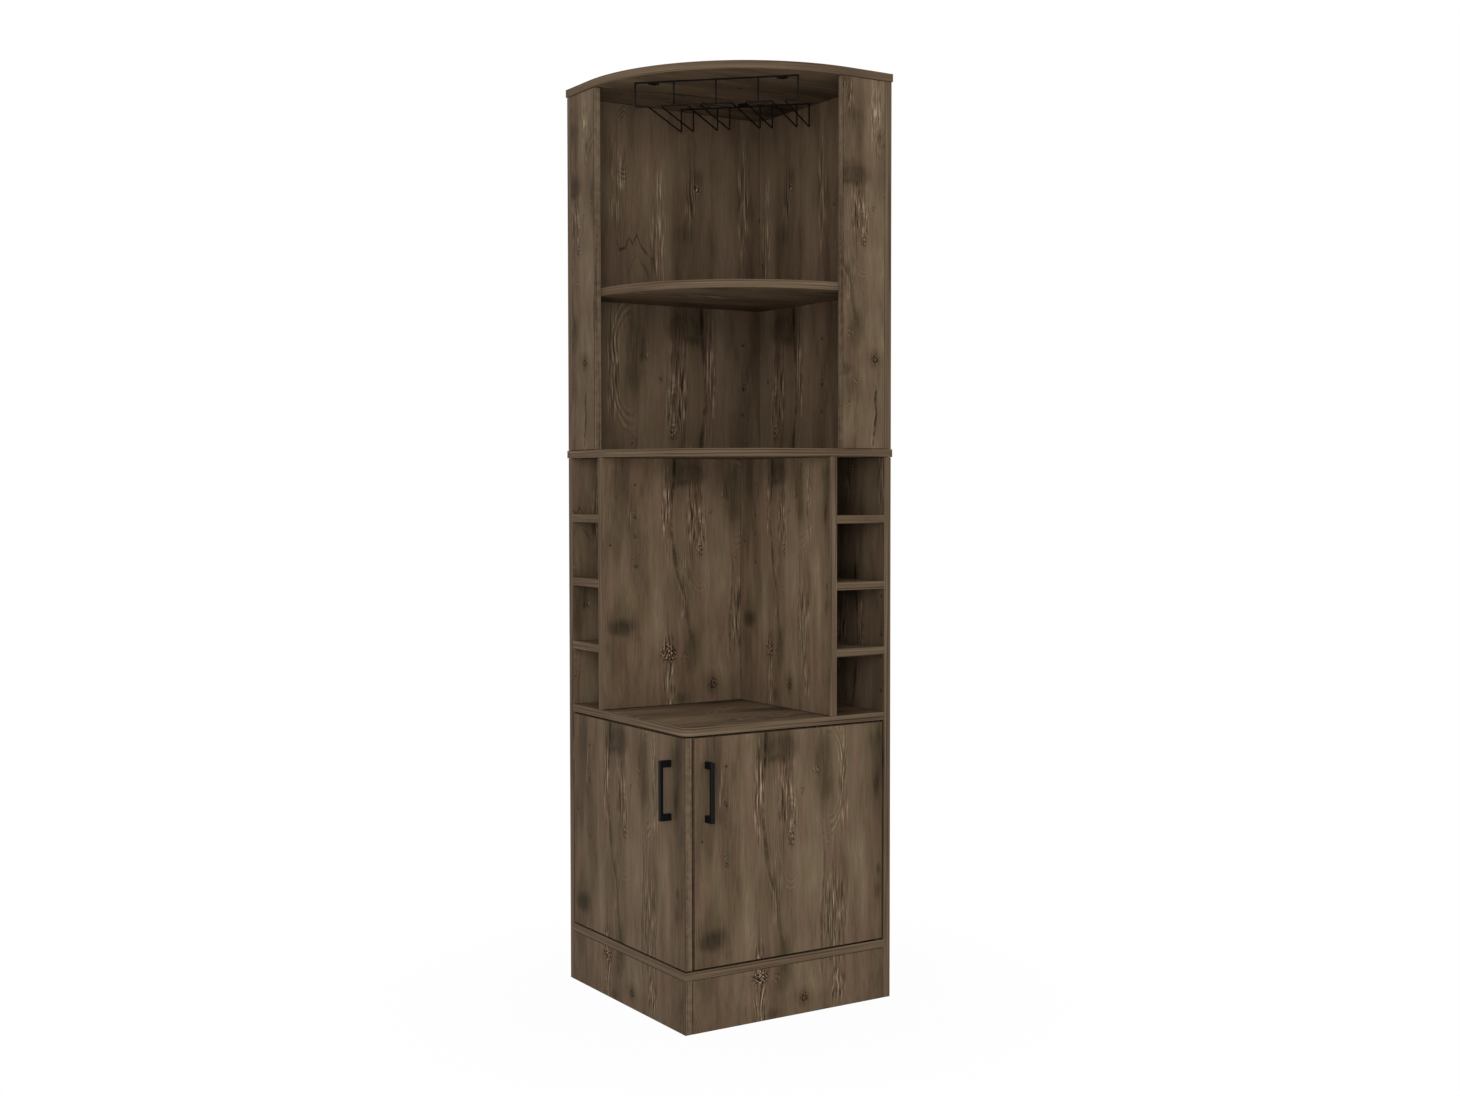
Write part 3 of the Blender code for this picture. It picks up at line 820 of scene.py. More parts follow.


# Each lay's last number, where given, is painted light and shade: it draws that board lighter or darker as the
# light falls on it.
LAYS: dict[str, Lay] = {
    "right_door": upright(Face.RIGHT, (1.0, 1.0), (0.2215, 0.0), 1.03),
    "left_door": upright(Face.LEFT, (1.0, 1.0), (0.2435, 0.0), 0.97),
    "right_plinth": upright(Face.RIGHT, (1.0, 1.45), (0.2215, -0.0194), 1.06),
    "left_plinth": upright(Face.LEFT, (1.0, 1.45), (0.2435, -0.0194), 0.98),
    "left_cubby_panel": upright(Face.RIGHT, (0.97, 1.142), (0.2309, -0.661), 1.12),
    "right_cubby_panel": upright(Face.LEFT, (1.37, 1.17), (0.1509, -0.691), 1.17),
    "right_wing": upright(Face.RIGHT, (1.05, 1.397), (0.0465, -1.721)),
    "left_wing": upright(Face.LEFT, (1.05, 1.397), (0.4392, -1.721), 0.91),
    "left_upper_wall": upright(Face.RIGHT, (-0.84, 0.8), (0.245, -0.555)),
    "right_upper_wall": upright(Face.LEFT, (-0.84, 0.8), (0.0942, -0.555), 1.06),
    "left_lower_wall": upright(Face.RIGHT, (-1.0, 1.0), (0.10, -0.30)),
    "right_lower_wall": upright(Face.LEFT, (-1.0, 1.0), (0.30, -0.30), 0.82),
    "bottom_board": level(1.0, (0.40, 0.30)),
    "countertop": level(0.8, (0.36, 0.40), 1.03),
    "mid_board": level(0.8, (0.20, 0.65)),
    "display_shelf": level(0.8, (0.30, 0.20)),
    "top_board": level(0.8, (0.10, 0.35)),
}
for shelf in (1, 2, 3):
    LAYS[f"left_cubby_shelf_{shelf}"] = level(1.0, (0.05 * shelf, 0.15 * shelf))
    LAYS[f"right_cubby_shelf_{shelf}"] = Lay((1.0, 0.0, 0.0), (0.0, 1.0, 0.0), (0.06 * shelf, 0.17 * shelf))


@dataclass
class Boards:
    """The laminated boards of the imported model, each with its own stretch of the decor."""

    finish: Laminate
    edge_grain: Pair = (9.0, 620.0)
    board_grain: Pair = (340.0, 11.0)
    # wear: how much the print is lightened, by rubbing on the bands' rims, and on the boards' borders also as
    # a painted edge highlight.
    wear: float = 0.12
    painted_shade: float = 0.85
    highlight_and_wear_border: Pair = (0.0024, 0.0012)
    joint_border: Pair = (0.0016, 0.0006)
    board_depth: float = 0.00022
    edge_depth: float = 0.00015

    def __post_init__(self) -> None:
        """Make the two node groups that all boards share."""
        self.decor = self.finish.decor()
        self.edging = self.finish.edging()

    def material(self, node: str) -> bpy.types.Material:
        """Build the laminate of one board.

        The decor lies on its two broad sides and the edging on its narrow ones. A dark line 1 mm wide round
        each side is painted shade in the joint, and inside it the print is lighter: a little worn, and partly
        a painted edge highlight.

        Args:
            node: the board's name.

        Returns:
            The material.
        """
        lay = LAYS[node]
        made, bench = new_material(f"laminate_{node}")
        coordinates = bench.outputs("ShaderNodeTexCoord")
        place, normal = coordinates["Object"], coordinates["Normal"]
        low, high = corners(node)
        thin = tuple(float(axis == lay.thin) for axis in range(3))
        length = (1.0, -1.0, 0.0) if lay.thin == 2 else tuple(1.0 - part for part in thin)
        across, along = place.dot(lay.across) + lay.start[0], place.dot(lay.along) + lay.start[1]
        on_decor = bench.vector(across, along, place.dot(thin))
        on_edge = bench.vector(place.dot(length), place.dot(thin) - float(low[lay.thin]))
        broad = bench.outputs("ShaderNodeGroup", {"node_tree": self.decor}, {"Place": on_decor})
        narrow = bench.outputs("ShaderNodeGroup", {"node_tree": self.edging}, {"Place": on_edge})
        is_edge = abs(normal.dot(thin)).rise(0.75, 0.6)
        is_broad = 1.0 - is_edge
        inset = tuple(((high - low) / 2).tolist()) - abs(place - tuple(((low + high) / 2).tolist()))
        first, second = (inset.part(axis) for axis in range(3) if axis != lay.thin)
        border = first.least(second)
        # Painted highlight, partly wear: inside the joint line the print is lightened, as where the rounded
        # rims catch the light.
        worn = place.noise((90.0, 90.0, 90.0)).rise(0.35, 0.7) * self.wear
        worn = border.rise(*self.highlight_and_wear_border) * worn
        # Painted light and shade: the board's tone lifts or darkens its whole decor.
        colour = bench.mix(1.0, broad["Colour"], (lay.tone,) * 3, "MULTIPLY")
        colour = bench.mix(is_edge, colour, narrow["Colour"])
        colour = bench.mix(worn, colour, WEAR_AND_HIGHLIGHT_WOOD)
        # Painted shade: the dark joint line stands in for the shadow in the gaps between parts.
        colour = bench.mix(border.rise(*self.joint_border) * is_broad * self.painted_shade, colour, PAINTED_GAP_SHADE)
        rough = broad["Roughness"] * is_broad + narrow["Roughness"] * is_edge + worn
        relief = self.finish.relief(on_edge, self.edge_grain) * is_edge
        relief = relief + self.finish.relief(on_decor, self.board_grain) * is_broad
        bench.close(colour, rough, relief, self.board_depth, self.finish.sheen)
        return made

    def edge_material(self, name: str, painted_shade: float = 0.0) -> bpy.types.Material:
        """Build the edging's own material, which reads the edge band's lengths from its UV map.

        Args:
            name: the material's name.
            painted_shade: how far the edging is darkened by painted shade, for door edges that face only the
                gaps between parts.

        Returns:
            The material.
        """
        made, bench = new_material(name)
        place = bench.get("ShaderNodeUVMap", {"uv_map": "lengths"})
        narrow = bench.outputs("ShaderNodeGroup", {"node_tree": self.edging}, {"Place": place})
        rim = bench.rim()
        colour = bench.mix(rim * self.wear, narrow["Colour"], WEAR_AND_HIGHLIGHT_WOOD)
        if painted_shade:
            # Painted shade: the door bands are darkened, as the gaps that they face are in shade.
            colour = bench.mix(painted_shade, colour, PAINTED_GAP_SHADE)
        relief = self.finish.relief(place, self.edge_grain)
        bench.close(colour, narrow["Roughness"] - rim * 0.05, relief, self.edge_depth, self.finish.sheen)
        return made

    def build(self) -> list[bpy.types.Object]:
        """Give each board its laminate.

        Returns:
            The boards.
        """
        for name in LAYS:
            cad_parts[name].data.materials[0] = self.material(name)
        return [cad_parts[name] for name in LAYS]


@dataclass(frozen=True)
class Metal:
    """A metal finish: its colour, how it is worn, and the scale and depth of its texture."""

    name: str
    colour: Triple
    worn: Triple
    metallic: float
    roughness: float
    texture: Triple
    depth: float
    shine: float = 0.5
    stain_grain: Triple = (38.0,) * 3
    rub_grain: Triple = (260.0,) * 3

    def material(self) -> bpy.types.Material:
        """Build the finish: a fine texture, slow stains, and wear where a piece's rim is marked.

        Returns:
            The material.
        """
        made, bench = new_material(self.name)
        place = bench.get("ShaderNodeTexCoord", output="Object")
        grain = place.noise(self.texture, 3.0, 0.6)
        stain = place.noise(self.stain_grain, 3.0)
        rub = place.noise(self.rub_grain)
        wear = (bench.rim() * 0.7 + rub * 0.5 - 0.42).rise(0.0, 0.5)
        colour = bench.mix(stain.rise(0.3, 0.7) * 0.35, self.colour, tuple(c * 0.72 for c in self.colour))
        colour = bench.mix(grain.rise(0.35, 0.7) * 0.25, colour, tuple(c * 1.35 for c in self.colour))
        colour = bench.mix(wear * 0.55, colour, self.worn)
        rough = stain * 0.14 + grain * 0.10 + (self.roughness - 0.12) - wear * 0.08
        bench.close(colour, rough, grain * 0.8 + rub * 0.2, self.depth, self.shine, self.metallic)
        return made


@dataclass(frozen=True)
class Moulded:
    """A moulded plastic finish: its colour, and the size and depth of its fine grain."""

    name: str
    colour: Triple
    roughness: float
    grain: float
    depth: float
    flow_grain: Triple = (60.0, 60.0, 140.0)
    shine: float = 0.45

    def material(self) -> bpy.types.Material:
        """Build the finish: an etched grain, faint flow marks and rubbed rims.

        Returns:
            The material.
        """
        made, bench = new_material(self.name)
        place = bench.get("ShaderNodeTexCoord", output="Object")
        inputs = {"Vector": place * ((self.grain,) * 3), "Scale": 1.0}
        etched = bench.get("ShaderNodeTexVoronoi", {"feature": "F1"}, inputs)
        flow = place.noise(self.flow_grain, 3.0)
        rim = bench.rim()
        colour = bench.mix(flow.rise(0.3, 0.7) * 0.4, self.colour, tuple(c * 0.8 for c in self.colour))
        colour = bench.mix(etched * 0.25 + rim * 0.2, colour, tuple(min(c * 1.5, 0.85) for c in self.colour))
        rough = flow * 0.12 + (self.roughness - 0.06) - rim * 0.06
        bench.close(colour, rough, etched + flow * 0.3, self.depth, self.shine)
        return made


RECIPES: dict[Finish, Metal | Moulded] = {
    Finish.BLACK_STEEL: Metal(
        "black_powder_coat", linear(11, 11, 11), linear(30, 29, 28), 0.0, 0.55, (1500.0,) * 3, 0.00003, 0.1
    ),
    Finish.BRIGHT_STEEL: Metal(
        "zinc_plate", (0.60, 0.60, 0.57), (0.82, 0.82, 0.80), 1.0, 0.32, (300.0, 300.0, 2600.0), 0.00002
    ),
    Finish.BLACK_PLASTIC: Moulded("moulded_black_plastic", linear(38, 38, 39), 0.50, 2600.0, 0.00003),
}


def linked(name: str, data: bpy.types.ID) -> bpy.types.Object:
    """Add an object to the scene.

    Args:
        name: the object's name.
        data: the mesh, lamp or camera that it shows.

    Returns:
        The object.
    """
    made = bpy.data.objects.new(name, data)
    bpy.context.scene.collection.objects.link(made)
    return made


@dataclass
class Shape:
    """Closed grids of points that are put together into one mesh."""

    name: str
    points: list[np.ndarray] = field(default_factory=list)
    rims: list[np.ndarray] = field(default_factory=list)
    faces: list[list[int]] = field(default_factory=list)
    lengths: list[np.ndarray] = field(default_factory=list)
    count: int = 0

    def grid(
        self,
        points: np.ndarray,
        rim: np.ndarray | float = 0.0,
        lengths: np.ndarray | None = None,
        round_i: bool = False,
    ) -> None:
        """Add one closed surface, whose rows are rings.

        Its faces look outwards: where the volume that they shut in comes out below nought, the corners of
        each are taken the other way round.

        Args:
            points: (m, n, 3) places.
            rim: (m, n) marks, 1 on a rim that wears.
            lengths: (m + round_i, n + 1, 2) lengths for the UV map.
            round_i: whether the last row joins the first; if not, a flat face closes each end.
        """
        m, n = points.shape[:2]
        index = np.arange(m * n).reshape(m, n)
        if lengths is None:
            lengths = np.zeros((m + round_i, n + 1, 2))
        i, j = np.meshgrid(np.arange(m if round_i else m - 1), np.arange(n), indexing="ij")
        square = [(i, j), (i, j + 1), (i + 1, j + 1), (i + 1, j)]
        quads = np.stack([index[a % m, b % n] for a, b in square], -1).reshape(-1, 4)
        groups = [(quads, np.stack([lengths[a, b] for a, b in square], -2).reshape(-1, 4, 2))]
        if not round_i:
            ends = np.stack([index[0, ::-1], index[-1]])
            groups.append((ends, np.stack([lengths[0, :n][::-1], lengths[-1, :n]])))
        centred = (points - points.mean((0, 1))).reshape(-1, 3)
        way = 1 if sum(enclosed(centred[faces]) for faces, _ in groups) > 0 else -1
        for faces, marks in groups:
            self.faces += (faces[:, ::way] + self.count).tolist()
            self.lengths += list(marks[:, ::way])
        self.points.append(points.reshape(-1, 3))
        self.rims.append(np.broadcast_to(np.asarray(rim, float), (m, n)).reshape(-1))
        self.count += m * n

    def piece(
        self, body: str, material: bpy.types.Material, slot: str, stands_for: tuple[str, ...] = ()
    ) -> bpy.types.Object:
        """Put the grids into a mesh that rides on a body.

        Args:
            body: the body that the piece moves with.
            material: its finish.
            slot: the record's material slot; not used.
            stands_for: the CAD nodes that it is shown instead of.

        Returns:
            The new object.
        """
        mesh = bpy.data.meshes.new(self.name)
        mesh.from_pydata(np.concatenate(self.points).tolist(), [], self.faces)
        mesh.polygons.foreach_set("use_smooth", np.ones(len(mesh.polygons), bool))
        layer = mesh.uv_layers.new(name="lengths")
        layer.data.foreach_set("uv", np.concatenate(self.lengths).astype(np.float32).ravel())
        rim = mesh.attributes.new("rim", "FLOAT", "POINT")
        rim.data.foreach_set("value", np.concatenate(self.rims).astype(np.float32))
        mesh.set_sharp_from_angle(angle=math.radians(40))
        mesh.materials.append(material)
        made = linked(self.name, mesh)
        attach(made, body)
        if stands_for:
            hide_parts(*stands_for)
        return made


def unit(vectors: np.ndarray) -> np.ndarray:
    """Return the vectors, each scaled to a length of 1."""
    return vectors / np.linalg.norm(vectors, axis=-1, keepdims=True)


def enclosed(faces: np.ndarray) -> float:
    """Return the volume between faces and the origin: the sum of p . (q x r) / 6 over their triangles."""
    return float((faces[:, :1] * np.cross(faces[:, 1:-1], faces[:, 2:])).sum() / 6)


def ring(count: int, start: float = 0.0) -> np.ndarray:
    """Return the angles of evenly spaced places round a circle."""
    return start + np.arange(count) * (2 * np.pi / count)


def rounded_outline(outline: np.ndarray, radii: np.ndarray | float, steps: int) -> np.ndarray:
    """Round each corner of a closed outline.

    A corner becomes the arc c + r unit((1 - s) (p - c) + s (q - c)), with s going from 0 to 1. Its ends p and
    q lie r / tan(half the corner's angle) along the two sides, and its middle c lies r / sin(half the angle)
    along the line that halves the corner.

    Args:
        outline: (n, 2) corners in order.
        radii: the radius of each arc.
        steps: the points on each arc, less one.

    Returns:
        The (n * (steps + 1), 2) outline.
    """
    radii = np.broadcast_to(np.asarray(radii, float), len(outline))[:, None]
    back = unit(np.roll(outline, 1, 0) - outline)
    ahead = unit(np.roll(outline, -1, 0) - outline)
    half = np.arccos(np.clip((back * ahead).sum(1), -1, 1))[:, None] / 2
    reach = radii / np.tan(half)
    start, end = outline + back * reach, outline + ahead * reach
    middle = outline + unit(back + ahead) * (radii / np.sin(half))
    share = np.linspace(0, 1, steps + 1)[None, :, None]
    chord = (start - middle)[:, None] * (1 - share) + (end - middle)[:, None] * share
    return (middle[:, None] + unit(chord) * radii[:, None]).reshape(-1, 2)


def plate(outline: np.ndarray, thickness: float, edge: float) -> tuple[np.ndarray, np.ndarray]:
    """Make a flat plate with rounded rims.

    The outline is drawn in by edge (1 - sin t) and lifted by edge (1 - cos t), with t going from 0 to a right
    angle, and the same from the top down.

    Args:
        outline: (n, 2) anticlockwise outline.
        thickness: the plate's thickness, from 0 up.
        edge: the radius of its rims.

    Returns:
        (8, n, 3) points and the rim mark of each.
    """
    turn = np.linspace(0, np.pi / 2, 4)
    draw = edge * (1 - np.sin(turn))
    low = edge * (1 - np.cos(turn))
    inset = np.concatenate([draw, draw[::-1]])[:, None, None]
    height = np.concatenate([low, thickness - low[::-1]])
    run = unit(unit(np.roll(outline, -1, 0) - outline) + unit(outline - np.roll(outline, 1, 0)))
    flat = outline - np.stack([run[:, 1], -run[:, 0]], -1) * inset
    lift = np.broadcast_to(height[:, None, None], (*flat.shape[:2], 1))
    mark = np.concatenate([np.cos(turn), np.cos(turn)[::-1]]) ** 0.5
    return np.concatenate([flat, lift], -1), np.broadcast_to(mark[:, None], flat.shape[:2])


def around(radius: np.ndarray, angle: np.ndarray, height: np.ndarray) -> np.ndarray:
    """Return the points (r cos a, r sin a, h) about the upright axis, from arrays that fit each other."""
    return np.stack(np.broadcast_arrays(radius * np.cos(angle), radius * np.sin(angle), height), -1)


def turned(profile: np.ndarray, angle: np.ndarray) -> np.ndarray:
    """Turn a profile of (radius, height) rows about the upright axis."""
    return around(profile[:, :1], angle, profile[:, 1:])


def screw(radius: float, length: float, head_radius: float, head: float) -> np.ndarray:
    """Make a pan head screw that points up, with its head below.

    The head is a flattened dome whose height is pressed in where the cross recess is, and the shank's radius
    swells along a helix: r (0.86 + 0.14 wave(h / pitch - angle / turn)).

    Args:
        radius: the shank's radius.
        length: the shank's length.
        head_radius: the head's radius.
        head: the head's height.

    Returns:
        (m, n, 3) points, from the middle of the head's face to the tip.
    """
    pitch, neck, hair = 0.0011, 0.0006, 0.00002
    arm_half, arm_reach = head_radius * 0.16, head_radius * 0.62
    angle = ring(48, math.pi / 4)
    across = np.linspace(0.02, 1, 16)[:, None] * head_radius
    dome = -head * (1 - 0.55 * (across / head_radius) ** 4)
    arm = across * np.minimum(np.abs(np.cos(angle)), np.abs(np.sin(angle)))
    inside = np.clip((arm_half - arm) / (head_radius * 0.06), 0, 1)
    inside = inside * np.clip((arm_reach - across) / (head_radius * 0.1), 0, 1)
    face = around(across, angle, dome + inside * head * 0.5)
    rim = turned(np.array([(head_radius, -head * 0.3), (head_radius * 0.99, -hair), (radius, 0.0)]), angle)
    height = np.linspace(neck, length - radius * 1.2, 40)[:, None]
    wave = np.abs((height / pitch - angle / (2 * np.pi)) % 1 - 0.5) * 2
    shank = around(radius * (0.86 + 0.14 * wave), angle, height)
    tip = turned(np.array([(radius * 0.5, length - radius * 0.5), (hair, length)]), angle)
    return np.concatenate([face, rim, shank, tip])


def corners(node: str) -> tuple[np.ndarray, np.ndarray]:
    """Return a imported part's lowest and highest corner, in the row's frame."""
    low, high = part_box(node)
    return np.array(low), np.array(high)


def span(node: str, face: Face) -> tuple[np.ndarray, np.ndarray]:
    """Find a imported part's corners beside a front.

    Args:
        node: the part's name.
        face: the front.

    Returns:
        Its lowest and highest corner, as (along the front, outwards from it, up).
    """
    order = [0, 1, 2] if face is Face.RIGHT else [1, 0, 2]
    low, high = ((corner - (CORNER, CORNER, 0.0))[order] for corner in corners(node))
    return np.array((low[0], -high[1], low[2])), np.array((high[0], -low[1], high[2]))


def facing(points: np.ndarray, face: Face) -> np.ndarray:
    """Turn (along a front, outwards from it, up) into the row's axes."""
    along, inward, up = points[..., 0], -points[..., 1], points[..., 2]
    return np.stack([along, inward, up] if face is Face.RIGHT else [inward, along, up], -1)


def placed(
    points: np.ndarray, face: Face, along: float = 0.0, height: float = 0.0, depth: float = 0.0
) -> np.ndarray:
    """Set points on a front of the cabinet.

    Args:
        points: places as (along the front, outwards from it, up).
        face: the front.
        along: how far from the cabinet's front corner they are set.
        height: how high.
        depth: how far in from the front's surface.

    Returns:
        The points in the row's frame.
    """
    return facing(points + (along, -depth, height), face) + (CORNER, CORNER, 0.0)


def laid_out(points: np.ndarray) -> np.ndarray:
    """Lay down a shape that points up, so that it points outwards from a front."""
    return np.stack([points[..., 0], points[..., 2], -points[..., 1]], -1)


@dataclass
class EdgeBands:
    """The thin bands on the boards' shown edges, with rounded rims."""

    material: bpy.types.Material
    painted_shade_banding: bpy.types.Material
    thickness: float = 0.0006
    proud: float = 0.00008
    rim: float = 0.00045
    inner_rim: float = 0.0001
    overlap: float = 0.00006
    counter_round: float = 0.018
    board_round: float = 0.0008
    bow_straight: float = 0.099
    wide_round: float = 0.1
    wall_gap: float = 0.0004
    end_gap: float = 0.0002

    def section(self) -> tuple[np.ndarray, np.ndarray, np.ndarray]:
        """Draw the band's section.

        Returns:
            The closed outline as (outwards, up) rows, its rim marks and its heights.
        """
        half = BOARD / 2 + self.overlap
        outline = [(self.proud, -half), (self.proud, half), (-self.thickness, half), (-self.thickness, -half)]
        radii = np.array([self.rim, self.rim, self.inner_rim, self.inner_rim])
        section = rounded_outline(np.array(outline), radii, 3)
        hair = 1e-6
        mark = ((section[:, 0] < self.proud - hair) & (section[:, 0] > -self.rim)).astype(float)
        return section, mark, section[:, 1] + half

    def band(
        self, name: str, body: str, path: np.ndarray, out: np.ndarray, rise: np.ndarray, closed: bool = False
    ) -> bpy.types.Object:
        """Carry the section along a path.

        The point at (i, j) is path[i] + section[j, 0] out[i] + section[j, 1] rise[i].

        Args:
            name: the banded board's name.
            body: the body it rides on.
            path: (n, 3) places in the middle of the board's edge.
            out: directions away from the edge, (n, 3) or one for all.
            rise: directions across the board's thickness, (n, 3) or one for all.
            closed: whether the path comes back to its start.

        Returns:
            The band.
        """
        name = f"{name}_band"
        section, mark, up = self.section()
        out, rise = (np.broadcast_to(way, path.shape)[:, None] for way in (out, rise))
        points = path[:, None] + section[None, :, :1] * out + section[None, :, 1:] * rise
        steps = np.linalg.norm(np.diff(path, axis=0, append=path[:1]), axis=1)
        run = np.concatenate([[0], np.cumsum(steps)])[: len(path) + closed]
        seed = sum(map(ord, name)) % 97
        lengths = np.empty((len(run), len(up) + 1, 2))
        lengths[..., 0] = run[:, None] + seed * 0.37
        lengths[..., 1] = np.append(up, up[0])[None] + seed * 0.013
        shape = Shape(name)
        shape.grid(points, mark[None], lengths, round_i=closed)
        # Bands that ride on a door take the edging darkened with painted shade for the door gaps.
        return shape.piece(body, self.material if body == "carcass" else self.painted_shade_banding, "wood_level")

    def straight(
        self, name: str, node: str, face: Face, axis: int, inset: float, count: int
    ) -> bpy.types.Object:
        """Band the front edge of a board that stands square to a front.

        Args:
            name: the banded board's name.
            node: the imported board.
            face: the front that the edge looks from.
            axis: 0 where the edge runs along the front, 2 where it runs up.
            inset: how far from the board's ends the band stops.
            count: the points along it.

        Returns:
            The band.
        """
        low, high = span(node, face)
        ends = np.stack([(low + high) / 2] * 2)
        ends[:, 1] = 0.0
        ends[:, axis] = low[axis] + inset, high[axis] - inset
        path = placed(np.linspace(ends[0], ends[1], count), face)
        out, rise = facing(np.eye(3)[[1, 2 - axis]], face)
        return self.band(name, "carcass", path, out, rise)

    def round(self, node: str, radius: float) -> bpy.types.Object:
        """Band a level board's edge, which runs along both fronts and round the corner between them.

        Args:
            node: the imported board.
            radius: the corner's radius.

        Returns:
            The band.
        """
        corner, end = corners(node)
        low, high = corner[0], end[0]
        turn = np.linspace(math.pi, 1.5 * math.pi, 72 if radius > self.wide_round else 12)
        spoke = np.stack([np.cos(turn), np.sin(turn)], -1)
        count = 10
        run = np.linspace(high - self.end_gap, low + radius, count + 1)[:-1]
        first = np.stack([np.full(count, low), run], -1)
        flat = np.concatenate([first, low + radius + spoke * radius, first[::-1, ::-1]])
        out = np.concatenate([np.tile((-1.0, 0.0), (count, 1)), spoke, np.tile((0.0, -1.0), (count, 1))])
        path = np.pad(flat, ((0, 0), (0, 1)), constant_values=(corner[2] + end[2]) / 2)
        return self.band(node, "carcass", path, np.pad(out, ((0, 0), (0, 1))), np.array((0.0, 0.0, 1.0)))

    def door(self, face: Face) -> bpy.types.Object:
        """Band the four edges of a door, as one loop round it.

        Args:
            face: the door's front.

        Returns:
            The band.
        """
        node, count = f"{face.value}_door", 16
        low, high = (corner[[0, 2]] for corner in span(node, face))
        low, high = low + GAP, high - GAP
        square = np.array([low, (high[0], low[1]), high, (low[0], high[1])])
        ends = np.stack([square, np.roll(square, -1, 0)], 1)
        share = np.linspace(0, 1, count + 1)[:-1][None, :, None]
        flat = (ends[:, :1] * (1 - share) + ends[:, 1:] * share).reshape(-1, 2)
        normals = np.array([(0.0, -1.0), (1.0, 0.0), (0.0, 1.0), (-1.0, 0.0)])
        sides = np.repeat(normals, count, 0)
        sides[::count] += np.roll(normals, 1, 0)
        path = placed(np.insert(flat, 1, -BOARD / 2, axis=1), face)
        out = facing(np.insert(sides, 1, 0.0, axis=1), face)
        return self.band(node, node, path, out, facing(np.array((0.0, -1.0, 0.0)), face), True)

    def build(self) -> list[bpy.types.Object]:
        """Build every band.

        Returns:
            The bands.
        """
        made = []
        uprights = {"lower_wall": "lower_wall", "upper_wall": "upper_wall", "panel": "cubby_panel"}
        for face in Face:
            side = face.value
            for name, node in uprights.items():
                names = (f"{side}_{name}", f"{side}_{node}")
                made.append(self.straight(*names, face, 2, self.wall_gap, count=24))
            for shelf in (1, 2, 3):
                node = f"{side}_cubby_shelf_{shelf}"
                made.append(self.straight(node, node, face, 0, GAP, count=8))
            made.append(self.door(face))
        low, high = corners("mid_board")
        bow = float(high[0] - low[0]) - self.bow_straight
        wing, front = corners("right_wing")[0][0], corners("display_shelf")[0][0]
        rounds = {"bottom_board": self.board_round, "countertop": self.counter_round}
        rounds.update({"mid_board": bow, "top_board": bow, "display_shelf": float(wing - front)})
        return made + [self.round(node, radius) for node, radius in rounds.items()]


@dataclass
class Maker:
    """Builds pieces of metal and plastic."""

    finishes: dict[Finish, bpy.types.Material]

    def made(
        self,
        name: str,
        body: str,
        finish: Finish,
        grids: list[np.ndarray],
        stands_for: str = "",
        rim: np.ndarray | float = 0.0,
    ) -> bpy.types.Object:
        """Build one piece.

        Args:
            name: its name.
            body: the body that it moves with.
            finish: what it is made of.
            grids: its closed surfaces.
            stands_for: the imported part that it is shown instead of, if there is one.
            rim: the rim marks of its surfaces.

        Returns:
            The piece.
        """
        shape = Shape(name)
        for grid in grids:
            shape.grid(grid, rim)
        return shape.piece(body, self.finishes[finish], finish.value, (stands_for,) if stands_for else ())


@dataclass
class Handle(Maker):
    """A square bar handle with softened rims, its feet and its two screws."""

    face: Face
    length: float = 0.112
    reach: float = 0.024
    width: float = 0.008
    bar: float = 0.007
    leg: float = 0.013
    rim: float = 0.0011
    outer_round: float = 0.0016
    inner_round: float = 0.0012
    grip: float = 0.009

    def bridge(self, half: float, reach: float, radius: float) -> np.ndarray:
        """Draw one side of the handle, from its lower foot over the bar to its upper foot.

        Args:
            half: half the distance between its feet.
            reach: how far out its bar lies.
            radius: the radius of its two corners.

        Returns:
            Rows of (outwards, up), as many for each side, so that two sides can be joined by sections.
        """
        turn = np.linspace(0, math.pi / 2, 7)
        corner = (reach - radius, radius - half) + radius * np.stack([np.sin(turn), -np.cos(turn)], -1)
        leg = np.stack([np.linspace(GAP, reach - radius, 5)[:-1], np.full(4, -half)], -1)
        bar = np.stack([np.full(5, reach), np.linspace(-half + radius, 0, 6)[1:]], -1)
        lower = np.concatenate([leg, corner, bar])
        return np.concatenate([lower, lower[-2::-1] * (1, -1)])

    def build(self) -> list[bpy.types.Object]:
        """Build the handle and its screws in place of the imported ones.

        Each of the handle's sections is a square with rounded corners, carried from the inner side at
        share 0 to the outer side at share 1: inner + way (side (w / 2 - r) + r cos t + w / 2).

        Returns:
            The handle and the screws.
        """
        side = self.face.value
        along, _, height = sum(span(f"{side}_handle", self.face)) / 2
        half = self.length / 2
        outer = self.bridge(half, self.reach, self.outer_round)
        inner = self.bridge(half - self.leg, self.reach - self.bar, self.inner_round)
        across = np.linalg.norm(outer - inner, axis=1)[:, None]
        way = (outer - inner) / across
        turn = ring(24, math.pi / 48)
        run = np.sign(np.cos(turn)) * (across / 2 - self.rim) + self.rim * np.cos(turn) + across / 2
        flat = inner[:, None] + way[:, None] * run[..., None]
        level_run = np.sign(np.sin(turn)) * (self.width / 2 - self.rim) + self.rim * np.sin(turn)
        points = np.stack([np.broadcast_to(level_run, run.shape), flat[..., 0], flat[..., 1]], -1)
        points = placed(points, self.face, along, height)
        rim = np.abs(np.sin(2 * turn))
        body, name = f"{side}_door", f"{side}_bar_handle"
        made = [self.made(name, body, Finish.BLACK_STEEL, [points], f"{side}_handle", rim)]
        for end, sign in (("lower", -1), ("upper", 1)):
            points = laid_out(screw(0.002, self.grip + BOARD, head_radius=0.004, head=0.0025))
            points = placed(points, self.face, along, height + sign * (half - self.leg / 2), BOARD + GAP)
            node = f"{side}_{end}_handle_screw"
            made.append(self.made(f"{side}_{end}_pan_screw", body, Finish.BRIGHT_STEEL, [points], node))
        return made


